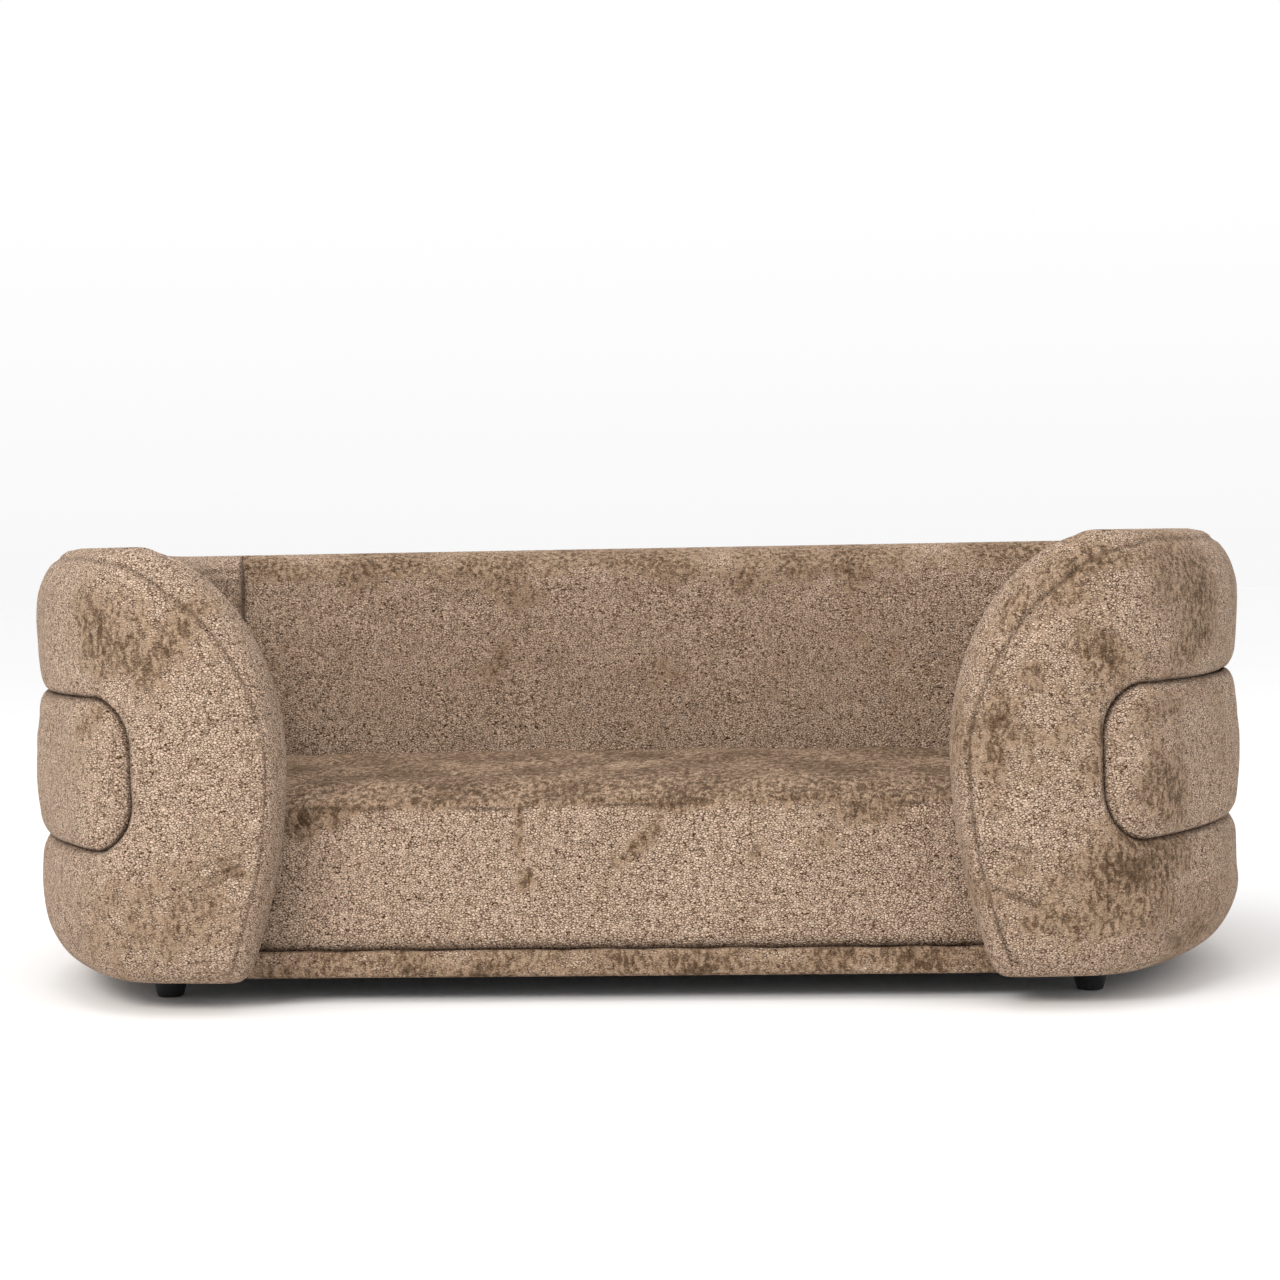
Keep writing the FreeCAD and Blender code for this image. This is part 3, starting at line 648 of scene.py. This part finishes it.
SEEDS = {"left": 11, "right": 23}
SIDE_START, SIDE_FADE = 10, 90  # the sides' bulge starts this far behind the band's end
SIDE_BASE = 3.0  # how much the sides lie back between their bulges
FACE_HEIGHT, FACE_RISE = 2.6, 26  # the shield's face stands out inside its seam
FACE_END, FACE_FADE = 60, 90  # it fades out before the band
SEAM_DEPTH, SEAM_WIDTH = 2.6, 1.9  # of the boxing strip's seam
SEAM_DARK, SEAM_LINE = 0.75, 1.1  # darkness and width of its dark line, partly stitching and partly painted shade
TOP_FIRM = 0.75  # the top's seam is this firm, beside the half-moon's
FOLD_LINE, FOLD_SHADE = 0.6, 0.22  # width and darkness of the painted shade along a crease, beside the crease's width and depth
DROP_START = 330  # the run from which the top comes down to the back's height, over as long again
SLANT_START = 480  # the run from which the rows turn towards the slanted rear seam
INNER_SEAM, INNER_SEAM_WIDTH = 15, 2.0  # the inner cover's seam below the edge


def arm(side):
    """One arm: shield, outer cover, rolled edge and inner cover."""
    rows = wall_rows(TOP)
    share = (rows - BODY_LOW) / (TOP - BODY_LOW)
    place = np.linspace(0, 1, len(MOON))
    moon = np.stack([np.interp(share, place, MOON[:, 0]), np.interp(share, place, MOON[:, 1])], 1)
    p = fanned_grid(rows, FAN_RUN, FAN_RUN, moon, (40, 1.7, 3.4))
    run, z = p[..., 0], p[..., 1]
    distance, width, seam, where = edge_fields(p, side)
    distance[-1], distance[:, -1] = 0, 0
    bottom = z - BODY_LOW
    out = quarter(distance, width) * quarter(bottom, BOTTOM_OUT)
    inside = quarter(distance, np.minimum(width, ROLL_IN)) * quarter(bottom, BOTTOM_IN)
    # the outer cover
    puff = smooth((run - BAND_RUN - SIDE_START) / SIDE_FADE) * (tiers(z, TOP, 2.4, 1.8) - SIDE_BASE)
    face = smooth((distance - seam) / FACE_RISE) * (1 - smooth((run - BAND_RUN + FACE_END) / FACE_FADE))
    beside_band = band_distance(run, z)
    depth = APEX * (1 - out) + out * (groove(beside_band) + seam_valley(SEAM_RUN - run) - puff
                                      - FACE_HEIGHT * face)
    firm = np.where(where < 1.0, 1.0, TOP_FIRM) * smooth((bottom - 4) / 10)
    depth += SEAM_DEPTH * firm * bell(distance - seam, SEAM_WIDTH)
    # painted shade along each crease, added to the dark seam lines
    crease_shade = np.zeros(run.shape)
    for start_at, end_at, wide, deep in CREASES[side]:
        depth += crease(p, start_at, end_at, wide, deep)
        crease_shade += crease(p, start_at, end_at, wide * FOLD_LINE, deep * FOLD_SHADE)
    seed = SEEDS[side]
    depth += out * uneven(p, (1.1, 120, seed), (0.45, 38, seed + 1))
    z = z - REAR_DROP * smooth((run - DROP_START) / DROP_START) * smooth((z - BAND_HIGH) / (TOP - BAND_HIGH))
    slant = SEAM_SLANT * smooth((run - SLANT_START) / (SEAM_RUN - SLANT_START))
    outer = np.stack([*plan(run - slant * depth, depth), z], -1)
    # the inner cover, nearly flat below its rolled edge
    inner_run = run - slant * WALL
    corner = seam_valley(INNER_SEAM_RUN - inner_run)
    inner_seam = inside * bell(distance - INNER_SEAM, INNER_SEAM_WIDTH)
    inner_depth = WALL - SKIN - (WALL - SKIN - APEX) * (1 - inside)
    inner_depth -= inside * (corner + 0.5 + 0.5 * ripple(p, 90, seed + 2)) + 1.8 * inner_seam
    inner = np.stack([*plan(run - slant * inner_depth, inner_depth), z], -1)
    join_edges(outer, inner, (np.s_[-1, :], np.s_[:, -1], np.s_[:, 0]))
    # dark lines at the seams and beside the band: partly stitching, partly painted shade
    boxing = SEAM_DARK * firm * bell(distance - seam, SEAM_LINE)
    upright = np.maximum(boxing, bell(SEAM_RUN - run, UPRIGHT_LINE))
    seams = (np.maximum(upright, bell(np.maximum(beside_band, 0), GROOVE_LINE)) + crease_shade,
             np.maximum(0.2 * inner_seam, 0.5 * bell(INNER_SEAM_RUN - inner_run, 2.0)))
    brushed = [brushed_field(outer, SHIELD_PATCHES_AND_SHADE[side], BRUSHED_AND_SHADE[side], seed + 3),
               brushed_field(inner, (), BRUSHED_INSIDE, seed + 3)]
    return closed_plate(side + "_arm", outer, inner, mirror=side == "left", seam=seams, brushed=brushed)


BAND_SEEDS = {"left": 31, "right": 41}
BAND_TURN = 46.0  # the band's columns fan out over this length behind its rounded end
BAND_BACK = 19.0  # depth of the band's hidden back
BAND_SIDE = 1.5  # how much deeper the band lies on the sides than on the shields


def band_pillow(gap):
    """Depth of the band's outer face at a distance inside its outline."""
    return GROOVE * (1 - quarter(gap, GROOVE_W)) - 1.8 * smooth((gap - 4) / 36)


def band_back(gap):
    """Depth of the band's back: close behind the face along the outline, deep elsewhere."""
    return np.where(gap > 0.4, BAND_BACK, GROOVE + 1.0)


def arm_band(side):
    """The band round one arm, with its rounded end on the shield."""
    rows = band_rows()
    over = np.maximum(np.abs(rows - BAND_MID) - (BAND_HALF - R_BAND_END), 0)
    end_run = BAND_RUN + R_BAND_END - np.sqrt(np.maximum(0, R_BAND_END ** 2 - over ** 2))
    end = np.stack([end_run, rows], 1)
    p = fanned_grid(rows, BAND_RUN + BAND_TURN, BAND_TURN, end, (24, 1.5, 3.0))
    run, z = p[..., 0], p[..., 1]
    gap = np.maximum(-band_distance(run, z), 0)
    seed = BAND_SEEDS[side]
    depth = band_pillow(gap) + seam_valley(SEAM_RUN - run)
    depth += smooth(gap / 14) * uneven(p, (0.8, 95, seed), (0.35, 30, seed + 1))
    depth += BAND_SIDE * smooth((run - BAND_RUN - 30) / 60)
    outer, inner = [np.stack([*plan(run, d), z], -1) for d in (depth, band_back(gap))]
    # dark lines at the band's edge and seam: partly stitching, partly painted shade
    seam = np.maximum(bell(gap, GROOVE_LINE), bell(SEAM_RUN - run, UPRIGHT_LINE))
    brushed = brushed_field(outer, BAND_PATCHES[side], BRUSHED_BAND_AND_SHADE[side], seed + 2)
    return closed_plate(side + "_arm_band", outer, inner, mirror=side == "left", seam=(seam, 1.0),
                        brushed=(brushed, 1.0))


def back_columns():
    """x of the back's columns, close together at its ends."""
    ends = BACK_SEAM_X - graded(BACK_SEAM_X, 10, 1.6, 6.0)
    return np.concatenate([-ends, ends[::-1][1:]])


def back_plan(x, depth, overlap=2.0):
    """x and y of the back at a depth; its ends reach a little into the arms."""
    end = smooth((np.abs(x) - 180) / (BACK_SEAM_X - 180))
    px, py = plan(run_at_x(np.abs(x), True) - (SEAM_SLANT * depth + overlap) * end, depth)
    return np.sign(x) * px, py


BACKREST_PATCHES = ((-215, 298, 90, 8, 0, 0.35), (-150, 284, 60, 16, 0, 0.40), (-108, 262, 18, 24, 0, 0.40),
                    (-90, 236, 12, 20, 0, 0.30), (-128, 226, 26, 9, 70, 0.25), (172, 262, 9, 20, 0, 0.50),
                    (178, 236, 14, 8, 0, 0.45), (150, 290, 50, 12, 0, 0.30), (215, 292, 40, 10, 0, 0.30),
                    (60, 284, 60, 14, 0, 0.30), (10, 250, 16, 20, 0, 0.25))


RECESS, RECESS_HALF = 23.0, 322  # the panel gives way behind the cushion: how deep and to which |x|
BACK_APEX = APEX + 10.0
BACK_ROLL_IN = 30.0


def backrest():
    """The back: outer cover, rolled top and the flat inner panel."""
    x, z = np.meshgrid(back_columns(), wall_rows(BACK_TOP), indexing="ij")
    p = np.stack([x, z], -1)
    top, bottom, end = BACK_TOP - z, z - BODY_LOW, BACK_SEAM_X - np.abs(x)
    # the outer cover
    out = quarter(top, ROLL_OUT) * quarter(bottom, BOTTOM_OUT)
    beside = np.abs(z - BAND_MID) - BAND_HALF
    cut = seam_valley(end)
    depth = BACK_APEX * (1 - out) + out * (groove(beside) + cut - tiers(z, BACK_TOP, 2.6, 1.6))
    depth += 1.8 * bell(top - 16, 2.3) + out * uneven(p, (1.0, 150, 51), (0.4, 45, 52))
    outer = np.stack([*back_plan(x, depth), z], -1)
    # the inner panel
    inside = quarter(top, BACK_ROLL_IN) * quarter(bottom, BOTTOM_IN)
    apex_x, apex_y = back_plan(x, np.full(x.shape, BACK_APEX))
    recess = RECESS * smooth((CUSHION_TOP - 9 - z) / 9) * smooth((RECESS_HALF - np.abs(x)) / 10)
    plump = 5.5 * (1 - smooth(end / 90)) + 3.0 * (1 - smooth(top / 70))
    panel_y = Y_BACKREST + SKIN + recess + plump + cut + 0.7 * ripple(p, 110, 53) + 0.3 * ripple(p, 36, 54)
    panel_x = x * INNER_SEAM_X / BACK_SEAM_X
    y = panel_y * inside + apex_y * (1 - inside)
    inner = np.stack([panel_x * inside + apex_x * (1 - inside), np.maximum(y, Y_BACKREST - 0.6), z], -1)
    join_edges(outer, inner, (np.s_[:, -1], np.s_[:, 0]))
    # dark lines at the seams and beside the band: partly stitching, partly painted shade
    ends = bell(end, 2.0)
    outer_seam = np.maximum(ends, bell(np.maximum(beside, 0), GROOVE_LINE))
    seams = (outer_seam, np.maximum(0.5 * ends, 0.15 * bell(top - 22, 1.8)))
    slow = uneven(p, (0.20, 90, 55), (0.12, 34, 56))
    brushed = 0.20 + slow + 0.62 * bell(top - 6, 18) + strokes(inner[..., ::2], BACKREST_PATCHES)
    return closed_plate("backrest", outer, inner, seam=seams, brushed=(0.30 + slow, brushed))


def back_band():
    """The band across the back."""
    x, z = np.meshgrid(back_columns(), band_rows(), indexing="ij")
    p = np.stack([x, z], -1)
    gap = BAND_HALF - np.abs(z - BAND_MID)
    end = BACK_SEAM_X - np.abs(x)
    depth = band_pillow(gap) + seam_valley(end)
    depth += smooth(gap / 14) * uneven(p, (0.8, 110, 61), (0.35, 36, 62))
    outer, inner = [np.stack([*back_plan(x, d), z], -1) for d in (depth, band_back(gap))]
    # dark lines at the band's edges and seams: partly stitching, partly painted shade
    seam = np.maximum(bell(gap, GROOVE_LINE), bell(end, UPRIGHT_LINE))
    brushed = 0.32 + 0.20 * ripple(p, 90, 63) + 0.12 * ripple(p, 34, 64)
    return closed_plate("back_band_cover", outer, inner, seam=(seam, 1.0), brushed=(brushed, 1.0))


STRIP_LIP = 4.4  # how far the strip's top stands up in front of the cushion's lower edge
STRIP_SWELL = 2.9


def base_strip():
    """The narrow upholstered strip along the front of the base."""
    low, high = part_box("base_front_strip")
    x0, y0, z0 = [v / MM for v in low]
    x1, y1, z1 = [v / MM for v in high]
    lip = z1 + STRIP_LIP
    rows = z0 + (lip - z0) * (1 - np.cos(np.linspace(0, np.pi, 23))) / 2
    x, z = np.meshgrid(np.linspace(x0, x1, 180), rows, indexing="ij")
    p = np.stack([x, z * 2], -1)
    low_edge, top_edge = quarter(z - z0, 6.5), quarter(lip - z, 3.5)
    y = y0 + 4.0 * (1 - low_edge) - 0.5 * (1 - top_edge)
    y -= low_edge * top_edge * (STRIP_SWELL + 0.7 * ripple(p, 70, 71) + 0.35 * ripple(p, 20, 72))
    wavy = z + smooth((z - z0) / 8) * 0.45 * ripple(x[..., None], 60, 73)
    outer = np.stack([x, y, wavy], -1)
    inner = np.stack([x, y1 - (y1 - y0 + 0.5) * smooth((z - z1 + 3.0) / 2.5), wavy], -1)
    brushed = 0.90 + 0.30 * ripple(p, 60, 74)
    # a dark line along the strip's top edge, where it meets the cushion: partly its seam, partly painted
    # shade
    seam = bell(lip - z, 1.0) * 0.6
    return closed_plate("base_front_strip_cover", outer, inner, seam=(seam, 0.0), brushed=(brushed, brushed))


# ---- seat cushion
def bake_modifiers(obj):
    """Swaps the object's mesh for what its modifiers make of it."""
    depsgraph = bpy.context.evaluated_depsgraph_get()
    made = bpy.data.meshes.new_from_object(obj.evaluated_get(depsgraph))
    obj.modifiers.clear()
    obj.data = made


def vertex_array(mesh, field="co"):
    """The mesh's points, or their normals, one to a row."""
    flat = np.zeros(len(mesh.vertices) * 3)
    mesh.vertices.foreach_get(field, flat)
    return flat.reshape(-1, 3)


def set_vertices(mesh, points):
    mesh.vertices.foreach_set("co", points.ravel())
    mesh.update()


def shade_smooth(mesh):
    mesh.polygons.foreach_set("use_smooth", [True] * len(mesh.polygons))


CLOTH_FRAMES = 20


def inflate(obj, pressure, cap):
    """Cloth under a little pressure, no gravity: panels swell by up to cap."""
    before = vertex_array(obj.data)
    normals = vertex_array(obj.data, "normal")
    cloth = obj.modifiers.new("cloth", "CLOTH")
    cloth.settings.use_pressure = True
    cloth.settings.uniform_pressure_force = pressure
    cloth.settings.quality = 4
    cloth.settings.tension_stiffness = 15
    cloth.settings.bending_stiffness = 0.6
    cloth.settings.effector_weights.gravity = 0
    scene = bpy.context.scene
    for number in range(1, CLOTH_FRAMES + 1):
        scene.frame_set(number)
    bake_modifiers(obj)
    scene.frame_set(1)
    moved = vertex_array(obj.data) - before
    length = np.maximum(np.linalg.norm(moved, axis=1, keepdims=True), 1e-9)
    outward = (moved * normals).sum(1, keepdims=True) / length
    set_vertices(obj.data, before + moved * np.clip(outward, 0, 1) * np.minimum(1, cap * MM / length))


def grow(obj, distance):
    """Moves every point out along its normal."""
    set_vertices(obj.data, vertex_array(obj.data) + vertex_array(obj.data, "normal") * distance * MM)


SEARCH = 0.02  # metres round a point that are searched for the CAD node
DEEPEST = 8.0  # points deeper inside it than this are left alone


def lie_over(points, node, gap):
    """Points in mm, moved out so that they stay at least gap outside a CAD node."""
    bm = bmesh.new()
    bm.from_mesh(frame["nodes"][node].data)
    tree = BVHTree.FromBMesh(bm)
    bm.free()
    for i, point in enumerate(points):
        place, normal, _, far = tree.find_nearest(Vector(point * MM), SEARCH)
        if place is None:
            continue
        height = (Vector(point * MM) - place).dot(normal) / MM
        if height < gap and far / MM < DEEPEST:
            points[i] = np.array(place + normal * (gap * MM)) / MM
    return points


def wall_clearance(points, depth):
    """Points in mm, moved in so that none is nearer the outer face than depth."""
    x, y = np.abs(points[:, 0]), points[:, 1].copy()
    for (r, a, b), (cx, cy) in zip(PATH[1:5], CENTRES[1:5]):
        dx, dy = x - cx, y - cy
        h = np.arctan2(dx, -dy)
        far = np.hypot(dx, dy)
        over = (h >= a) & (h < b) & (far > r - depth)
        scale = np.where(over, (r - depth) / np.maximum(far, 1e-6), 1)
        x, y = cx + dx * scale, cy + dy * scale
    return np.stack([np.sign(points[:, 0]) * x, y, points[:, 2]], 1)


# Patches on the seat's front; the tall ones at x -246 and 250 are painted shade beside the arms, partly flat
# pile, and the long low one darkens the front along its bottom edge
SEAT_FRONT_PATCHES_AND_SHADE = ((-222, 126, 16, 14, 0, 1.35), (-198, 130, 12, 7, 0, 0.80), (-246, 90, 10, 60, 0, 0.45),
                      (250, 95, 9, 60, 0, 0.45), (172, 129, 36, 9, 0, 0.95), (-160, 134, 60, 5, 0, 0.55),
                      (40, 134, 90, 5, 0, 0.60), (-70, 118, 20, 3.5, 86, 1.00), (-66, 84, 10, 5, 60, 1.40),
                      (14, 110, 26, 7, 48, 0.85), (140, 110, 18, 8, 0, 0.65), (96, 104, 12, 6, 70, 0.60),
                      (0, 38, 240, 5, 0, 0.30))
SEAT_FRONT, SEAT_TOP_AND_SHADE = 0.16, 1.36  # how flat the pile of the front and the top lies between the patches; the top's value, above 1, is partly pile lying away and partly painted shade
VOXEL, COVER = 6.0, 1.8  # size of the cushion's faces, thickness of its cover
PRESSURE, SWELL_CAP = 4.0, 6.0
CROWN = 3.0  # how much higher the middle of the seat is than its edge
SEAM_BELOW_TOP = 7.0
SEAM_PULL, SEAM_PULL_WIDTH = 2.6, 2.6


def swell(q):
    """A full, slightly uneven top and front."""
    x, y, z = q.T
    middle = smooth((380 - np.abs(x)) / 260) * smooth((y - Y_CUSHION) / 110)
    middle *= smooth((Y_CUSHION_BACK - y) / 110)
    on_top = smooth((z - CUSHION_TOP + 30) / 24)
    q[:, 2] += on_top * (CROWN * middle + 0.9 * ripple(q[:, :2], 150, 81) + 0.4 * ripple(q[:, :2], 45, 82))
    q[:, 2] = np.maximum(q[:, 2], CUSHION_LOW + 0.1)
    in_front = smooth((Y_CUSHION + 26 - y) / 20)
    q[:, 1] += in_front * uneven(q[:, ::2], (0.8, 130, 83), (0.35, 40, 84))


def sew_round(q):
    """Pulls in the seam round the top's edge. Returns its height, and how far points lie on the sides."""
    core = np.clip(q[:, :2], [-340, Y_CUSHION + 40], [340, Y_CUSHION_BACK - 40])
    outward = q[:, :2] - core
    reach = np.linalg.norm(outward, axis=1)
    outward /= np.maximum(reach, 1e-6)[:, None]
    on_side = smooth((reach - 20) / 12)
    seam_z = CUSHION_TOP - SEAM_BELOW_TOP + 1.6 * ripple(q[:, :1], 160, 85)
    q[:, :2] -= outward * (SEAM_PULL * bell(q[:, 2] - seam_z, SEAM_PULL_WIDTH) * on_side)[:, None]
    return seam_z, on_side


def press_in_zip(q):
    """Lays the cover's rear into a shallow groove behind the zip's tapes."""
    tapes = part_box("zip_tapes")
    half, z0, z1 = tapes[1].x / MM + 6, tapes[0].z / MM - 1.5, tapes[1].z / MM + 1.5
    y_floor = tapes[0].y / MM - 0.4
    in_groove = smooth((half - np.abs(q[:, 0])) / 4) * smooth((q[:, 2] - z0 + 3) / 3)
    in_groove *= smooth((z1 + 3 - q[:, 2]) / 3)
    sunk = q[:, 1] * (1 - in_groove) + y_floor * in_groove
    q[:, 1] = np.where(q[:, 1] > 100, np.minimum(q[:, 1], sunk), q[:, 1])


def seat_cushion():
    """The cushion's cover, from its foam core."""
    obj = new_object("seat_cushion", frame["nodes"]["cushion_foam"].data.copy())
    remesh = obj.modifiers.new("remesh", "REMESH")
    remesh.mode = "VOXEL"
    remesh.voxel_size = VOXEL * MM
    bake_modifiers(obj)
    grow(obj, COVER)
    inflate(obj, PRESSURE, SWELL_CAP)
    subdivide = obj.modifiers.new("subdivide", "SUBSURF")
    subdivide.levels = subdivide.render_levels = 1
    bake_modifiers(obj)
    q = vertex_array(obj.data) / MM
    swell(q)
    seam_z, on_side = sew_round(q)
    q = wall_clearance(q, WALL + 2 * SKIN)
    q[:, 1] = np.clip(q[:, 1], Y_CUSHION - 2.0, Y_CUSHION_BACK + 0.6)
    q[:, 2] = np.minimum(q[:, 2], CUSHION_TOP + 9.0)
    press_in_zip(q)
    q = lie_over(q, "cushion_foam", SKIN)
    set_vertices(obj.data, q * MM)
    at_front = smooth((Y_CUSHION + 14 - q[:, 1]) / 12) * smooth((CUSHION_TOP - 1 - q[:, 2]) / 6)
    slow = ripple(q * [0.8, 0.35, 1], 42, 86)
    # the whole top is darker: partly its pile lying away, partly painted shade
    shaded_top = smooth((q[:, 2] - CUSHION_TOP + 9) / 7)
    brushed = SEAT_FRONT + strokes(q[:, ::2], SEAT_FRONT_PATCHES_AND_SHADE) * at_front + 0.10 * slow
    paint(obj.data, "brushed", brushed * (1 - shaded_top) + (SEAT_TOP_AND_SHADE + 0.28 * slow) * shaded_top)
    # the dark line of the seam round the top: partly stitching, partly painted shade in its groove
    paint(obj.data, "seam", 0.9 * bell(q[:, 2] - seam_z, 1.1) * on_side)
    shade_smooth(obj.data)
    return obj


# ---- sheets under and on the board
SHEET = 0.5  # thickness of the cloth on and under the board
DUST_INSET, DECK_INSET = 50.0, 65.0  # from the wall's outer face


def flat_outline(depth, notch_half, notch_y):
    """Plan outline at a depth, set back to notch_y where |x| is below notch_half."""
    runs = np.linspace(0, LENGTHS[-1], 220)
    x, y = plan(runs, depth)
    keep = (x > notch_half) | (y > 0)
    right = np.stack([x[keep], y[keep]], 1)
    return mirrored(np.concatenate([[[notch_half, notch_y], [notch_half, right[0, 1]]], right]))


DICE = 9.0  # size of a sheet's faces


def mirrored(right):
    """A closed outline from its right half."""
    return np.concatenate([right, (right * [-1, 1])[::-1]])


def diced_sheet(name, outline, z, thickness, sag):
    """A slightly uneven sheet of small faces, cut to an outline."""
    bm = bmesh.new()
    loop = [bm.verts.new((x * MM, y * MM, 0)) for x, y in outline]
    bm.faces.new(loop)
    bmesh.ops.remove_doubles(bm, verts=bm.verts, dist=1e-6)
    low, high = outline.min(0), outline.max(0)
    for axis, normal in enumerate((Vector((1, 0, 0)), Vector((0, 1, 0)))):
        for cut in np.arange(low[axis] + DICE, high[axis], DICE):
            geometry = bm.verts[:] + bm.edges[:] + bm.faces[:]
            place = normal * float(cut) * MM
            bmesh.ops.bisect_plane(bm, geom=geometry, plane_co=place, plane_no=normal, dist=1e-7)
    bmesh.ops.triangulate(bm, faces=[f for f in bm.faces if len(f.verts) > 4])
    mesh = bpy.data.meshes.new(name)
    bm.to_mesh(mesh)
    bm.free()
    obj = new_object(name, mesh)
    q = vertex_array(mesh) / MM
    q[:, 2] = z + sag * (0.5 + 0.25 * ripple(q[:, :2], 90, 91) + 0.12 * ripple(q[:, :2], 24, 92))
    set_vertices(mesh, q * MM)
    solid = obj.modifiers.new("thickness", "SOLIDIFY")
    solid.thickness = thickness * MM
    solid.offset = 0
    bake_modifiers(obj)
    bm = bmesh.new()
    bm.from_mesh(obj.data)
    bmesh.ops.recalc_face_normals(bm, faces=bm.faces)
    bm.to_mesh(obj.data)
    bm.free()
    shade_smooth(obj.data)
    return obj


def finish_piece(obj, material, nodes, body="root"):
    """Material, body and replaced nodes of a piece."""
    obj.data.materials.clear()
    obj.data.materials.append(material)
    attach(obj, body)
    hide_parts(*nodes)


def upholstery():
    """Every padded piece."""
    cloth = chenille()
    soft = ("shield_face_pad", "shield_core", "upper_pad", "lower_pad", "inner_pad", "top_roll")
    for side in ("left", "right"):
        finish_piece(arm(side), cloth, [f"{side}_{n}" for n in soft])
        finish_piece(arm_band(side), cloth, [side + "_band"])
    finish_piece(backrest(), cloth, ["back_upper_pad", "back_lower_pad", "backrest_pad", "back_top_roll"])
    finish_piece(back_band(), cloth, ["back_band"])
    finish_piece(base_strip(), cloth, ["base_front_strip"])
    stroked = chenille("chenille_seat", SEAT_LAY)
    finish_piece(seat_cushion(), stroked, ["cushion_cover"], body="cushion")


def stretched_sheet(name, outline, z, sag, material, node):
    """A sheet stretched under or on the base board."""
    obj = diced_sheet(name, outline, z, SHEET, sag)
    finish_piece(obj, material, [node])


def sheets():
    """The dust cover under the base board, and the cloth on it."""
    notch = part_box("base_front_strip")[1].x / MM + 3.5
    board_low, board_top = [corner.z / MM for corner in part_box("base_board")]
    under = flat_outline(DUST_INSET, notch, Y_CUSHION + 6)
    black = nonwoven("nonwoven", (0.008, 0.008, 0.009), (0.030, 0.030, 0.033), 1.6)
    stretched_sheet("dust_cover_cloth", under, board_low - 0.75, 0.4, black, "dust_cover")
    low, high = [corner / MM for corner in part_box("deck_cloth")]
    x, y = plan(np.linspace(0, LENGTHS[-1], 200), DECK_INSET)
    on = mirrored(np.stack([x, np.clip(y, low.y, high.y)], 1))
    grey = nonwoven("deck_cloth", (0.05, 0.046, 0.042), (0.11, 0.10, 0.092), 2.2)
    stretched_sheet("deck_cloth_sheet", on, board_top + 0.45, 0.3, grey, "deck_cloth")


def carried_over():
    """Materials of the CAD nodes that stay: frame, feet, fasteners, foam core and zip."""
    finishes = {
        "plywood": plywood(),
        "foam": foam(),
        "foot_plastic": moulded("foot_plastic", (0.010, 0.010, 0.011), (0.028, 0.028, 0.030), 0.6, 0.42),
        "steel": metal("steel", (0.62, 0.62, 0.64), 0.32),
        "zip_tape": ribbed("zip_tape", (0.26, 0.19, 0.13), 0.9, 0.9),
        "zip_plastic": ribbed("zip_plastic", (0.30, 0.23, 0.16), 1.3, 0.45),
        "zip_metal": metal("zip_metal", (0.42, 0.33, 0.22), 0.35),
    }
    slots = {row["node"]: row["material_slot"] for row in frame["record"]["subparts"]}
    for name, node in frame["nodes"].items():
        if slots[name] in finishes:
            node.data.materials.clear()
            node.data.materials.append(finishes[slots[name]])


LIT = (0, 0, 0.15)  # the lights point here


def light(name, place, size, power, tint=(1.0, 1.0, 1.0)):
    """A soft rectangular light, its place and size in metres and its power in watts."""
    data = bpy.data.lights.new(name, "AREA")
    data.shape = "RECTANGLE"
    data.size, data.size_y = size
    data.energy = power
    data.color = tint
    obj = new_object(name, data)
    obj.location = place
    obj.rotation_mode = "QUATERNION"
    obj.rotation_quaternion = (Vector(LIT) - Vector(place)).to_track_quat("-Z", "Y")


# The backdrop's brightness by height: from, to, and the values there
HORIZON = {"From Min": 0.0, "From Max": 0.12, "To Min": 0.94, "To Max": 1.0}


def backdrop():
    """White above the horizon, as bright as the floor at it."""
    m = Nodes("studio", bpy.data.worlds, "Background")
    axes = m.add("ShaderNodeSeparateXYZ", Vector=m.add("ShaderNodeTexCoord").outputs["Generated"])
    sky = m.add("ShaderNodeMapRange", Value=axes.outputs["Z"], **HORIZON)
    bpy.context.scene.world = m.shade(Color=sky.outputs["Result"], Strength=1.0)


def studio():
    """Pale floor, white backdrop, and soft light from the front left."""
    bpy.ops.mesh.primitive_plane_add(size=30)
    floor = bpy.context.object
    floor.name = "floor"
    m = Nodes("floor")
    grain = m.noise(m.place(), 3.0, 2.0)
    pale = m.mix(grain, (0.93, 0.93, 0.93), (0.95, 0.95, 0.95))
    floor.data.materials.append(m.shade(Base_Color=pale, Roughness=0.9))
    floor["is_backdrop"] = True
    backdrop()
    light("key", (-1.2, -2.6, 1.9), (1.3, 1.1), 52.0, (1.0, 0.98, 0.955))
    light("fill", (2.2, -1.8, 1.2), (1.6, 1.2), 5.0)
    light("top", (-0.2, -0.3, 2.6), (2.2, 1.6), 14.0)
    bpy.context.scene.view_settings.view_transform = "Standard"


CAMERA_PLACE = (0.14474, -2.14766, 0.31438)  # metres
YAW, PITCH, ROLL = [math.radians(angle) for angle in (3.79, 1.92, -1.05)]
SENSOR, LENS = 36.0, 78.79


def camera():
    """The camera stands a little right of the middle, level with the arms' tops."""
    ahead = Vector((-math.sin(YAW) * math.cos(PITCH), math.cos(YAW) * math.cos(PITCH), -math.sin(PITCH)))
    right = Vector((math.cos(YAW), math.sin(YAW), 0))
    up = right.cross(ahead)
    right, up = (math.cos(ROLL) * right + math.sin(ROLL) * up, -math.sin(ROLL) * right + math.cos(ROLL) * up)
    data = bpy.data.cameras.new("camera")
    data.sensor_width, data.lens = SENSOR, LENS
    obj = new_object("camera", data)
    turn = Matrix((right, up, -ahead)).transposed()
    obj.matrix_world = Matrix.Translation(CAMERA_PLACE) @ turn.to_4x4()
    bpy.context.scene.camera = obj


camera()
upholstery()
sheets()
carried_over()
studio()

low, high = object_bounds()
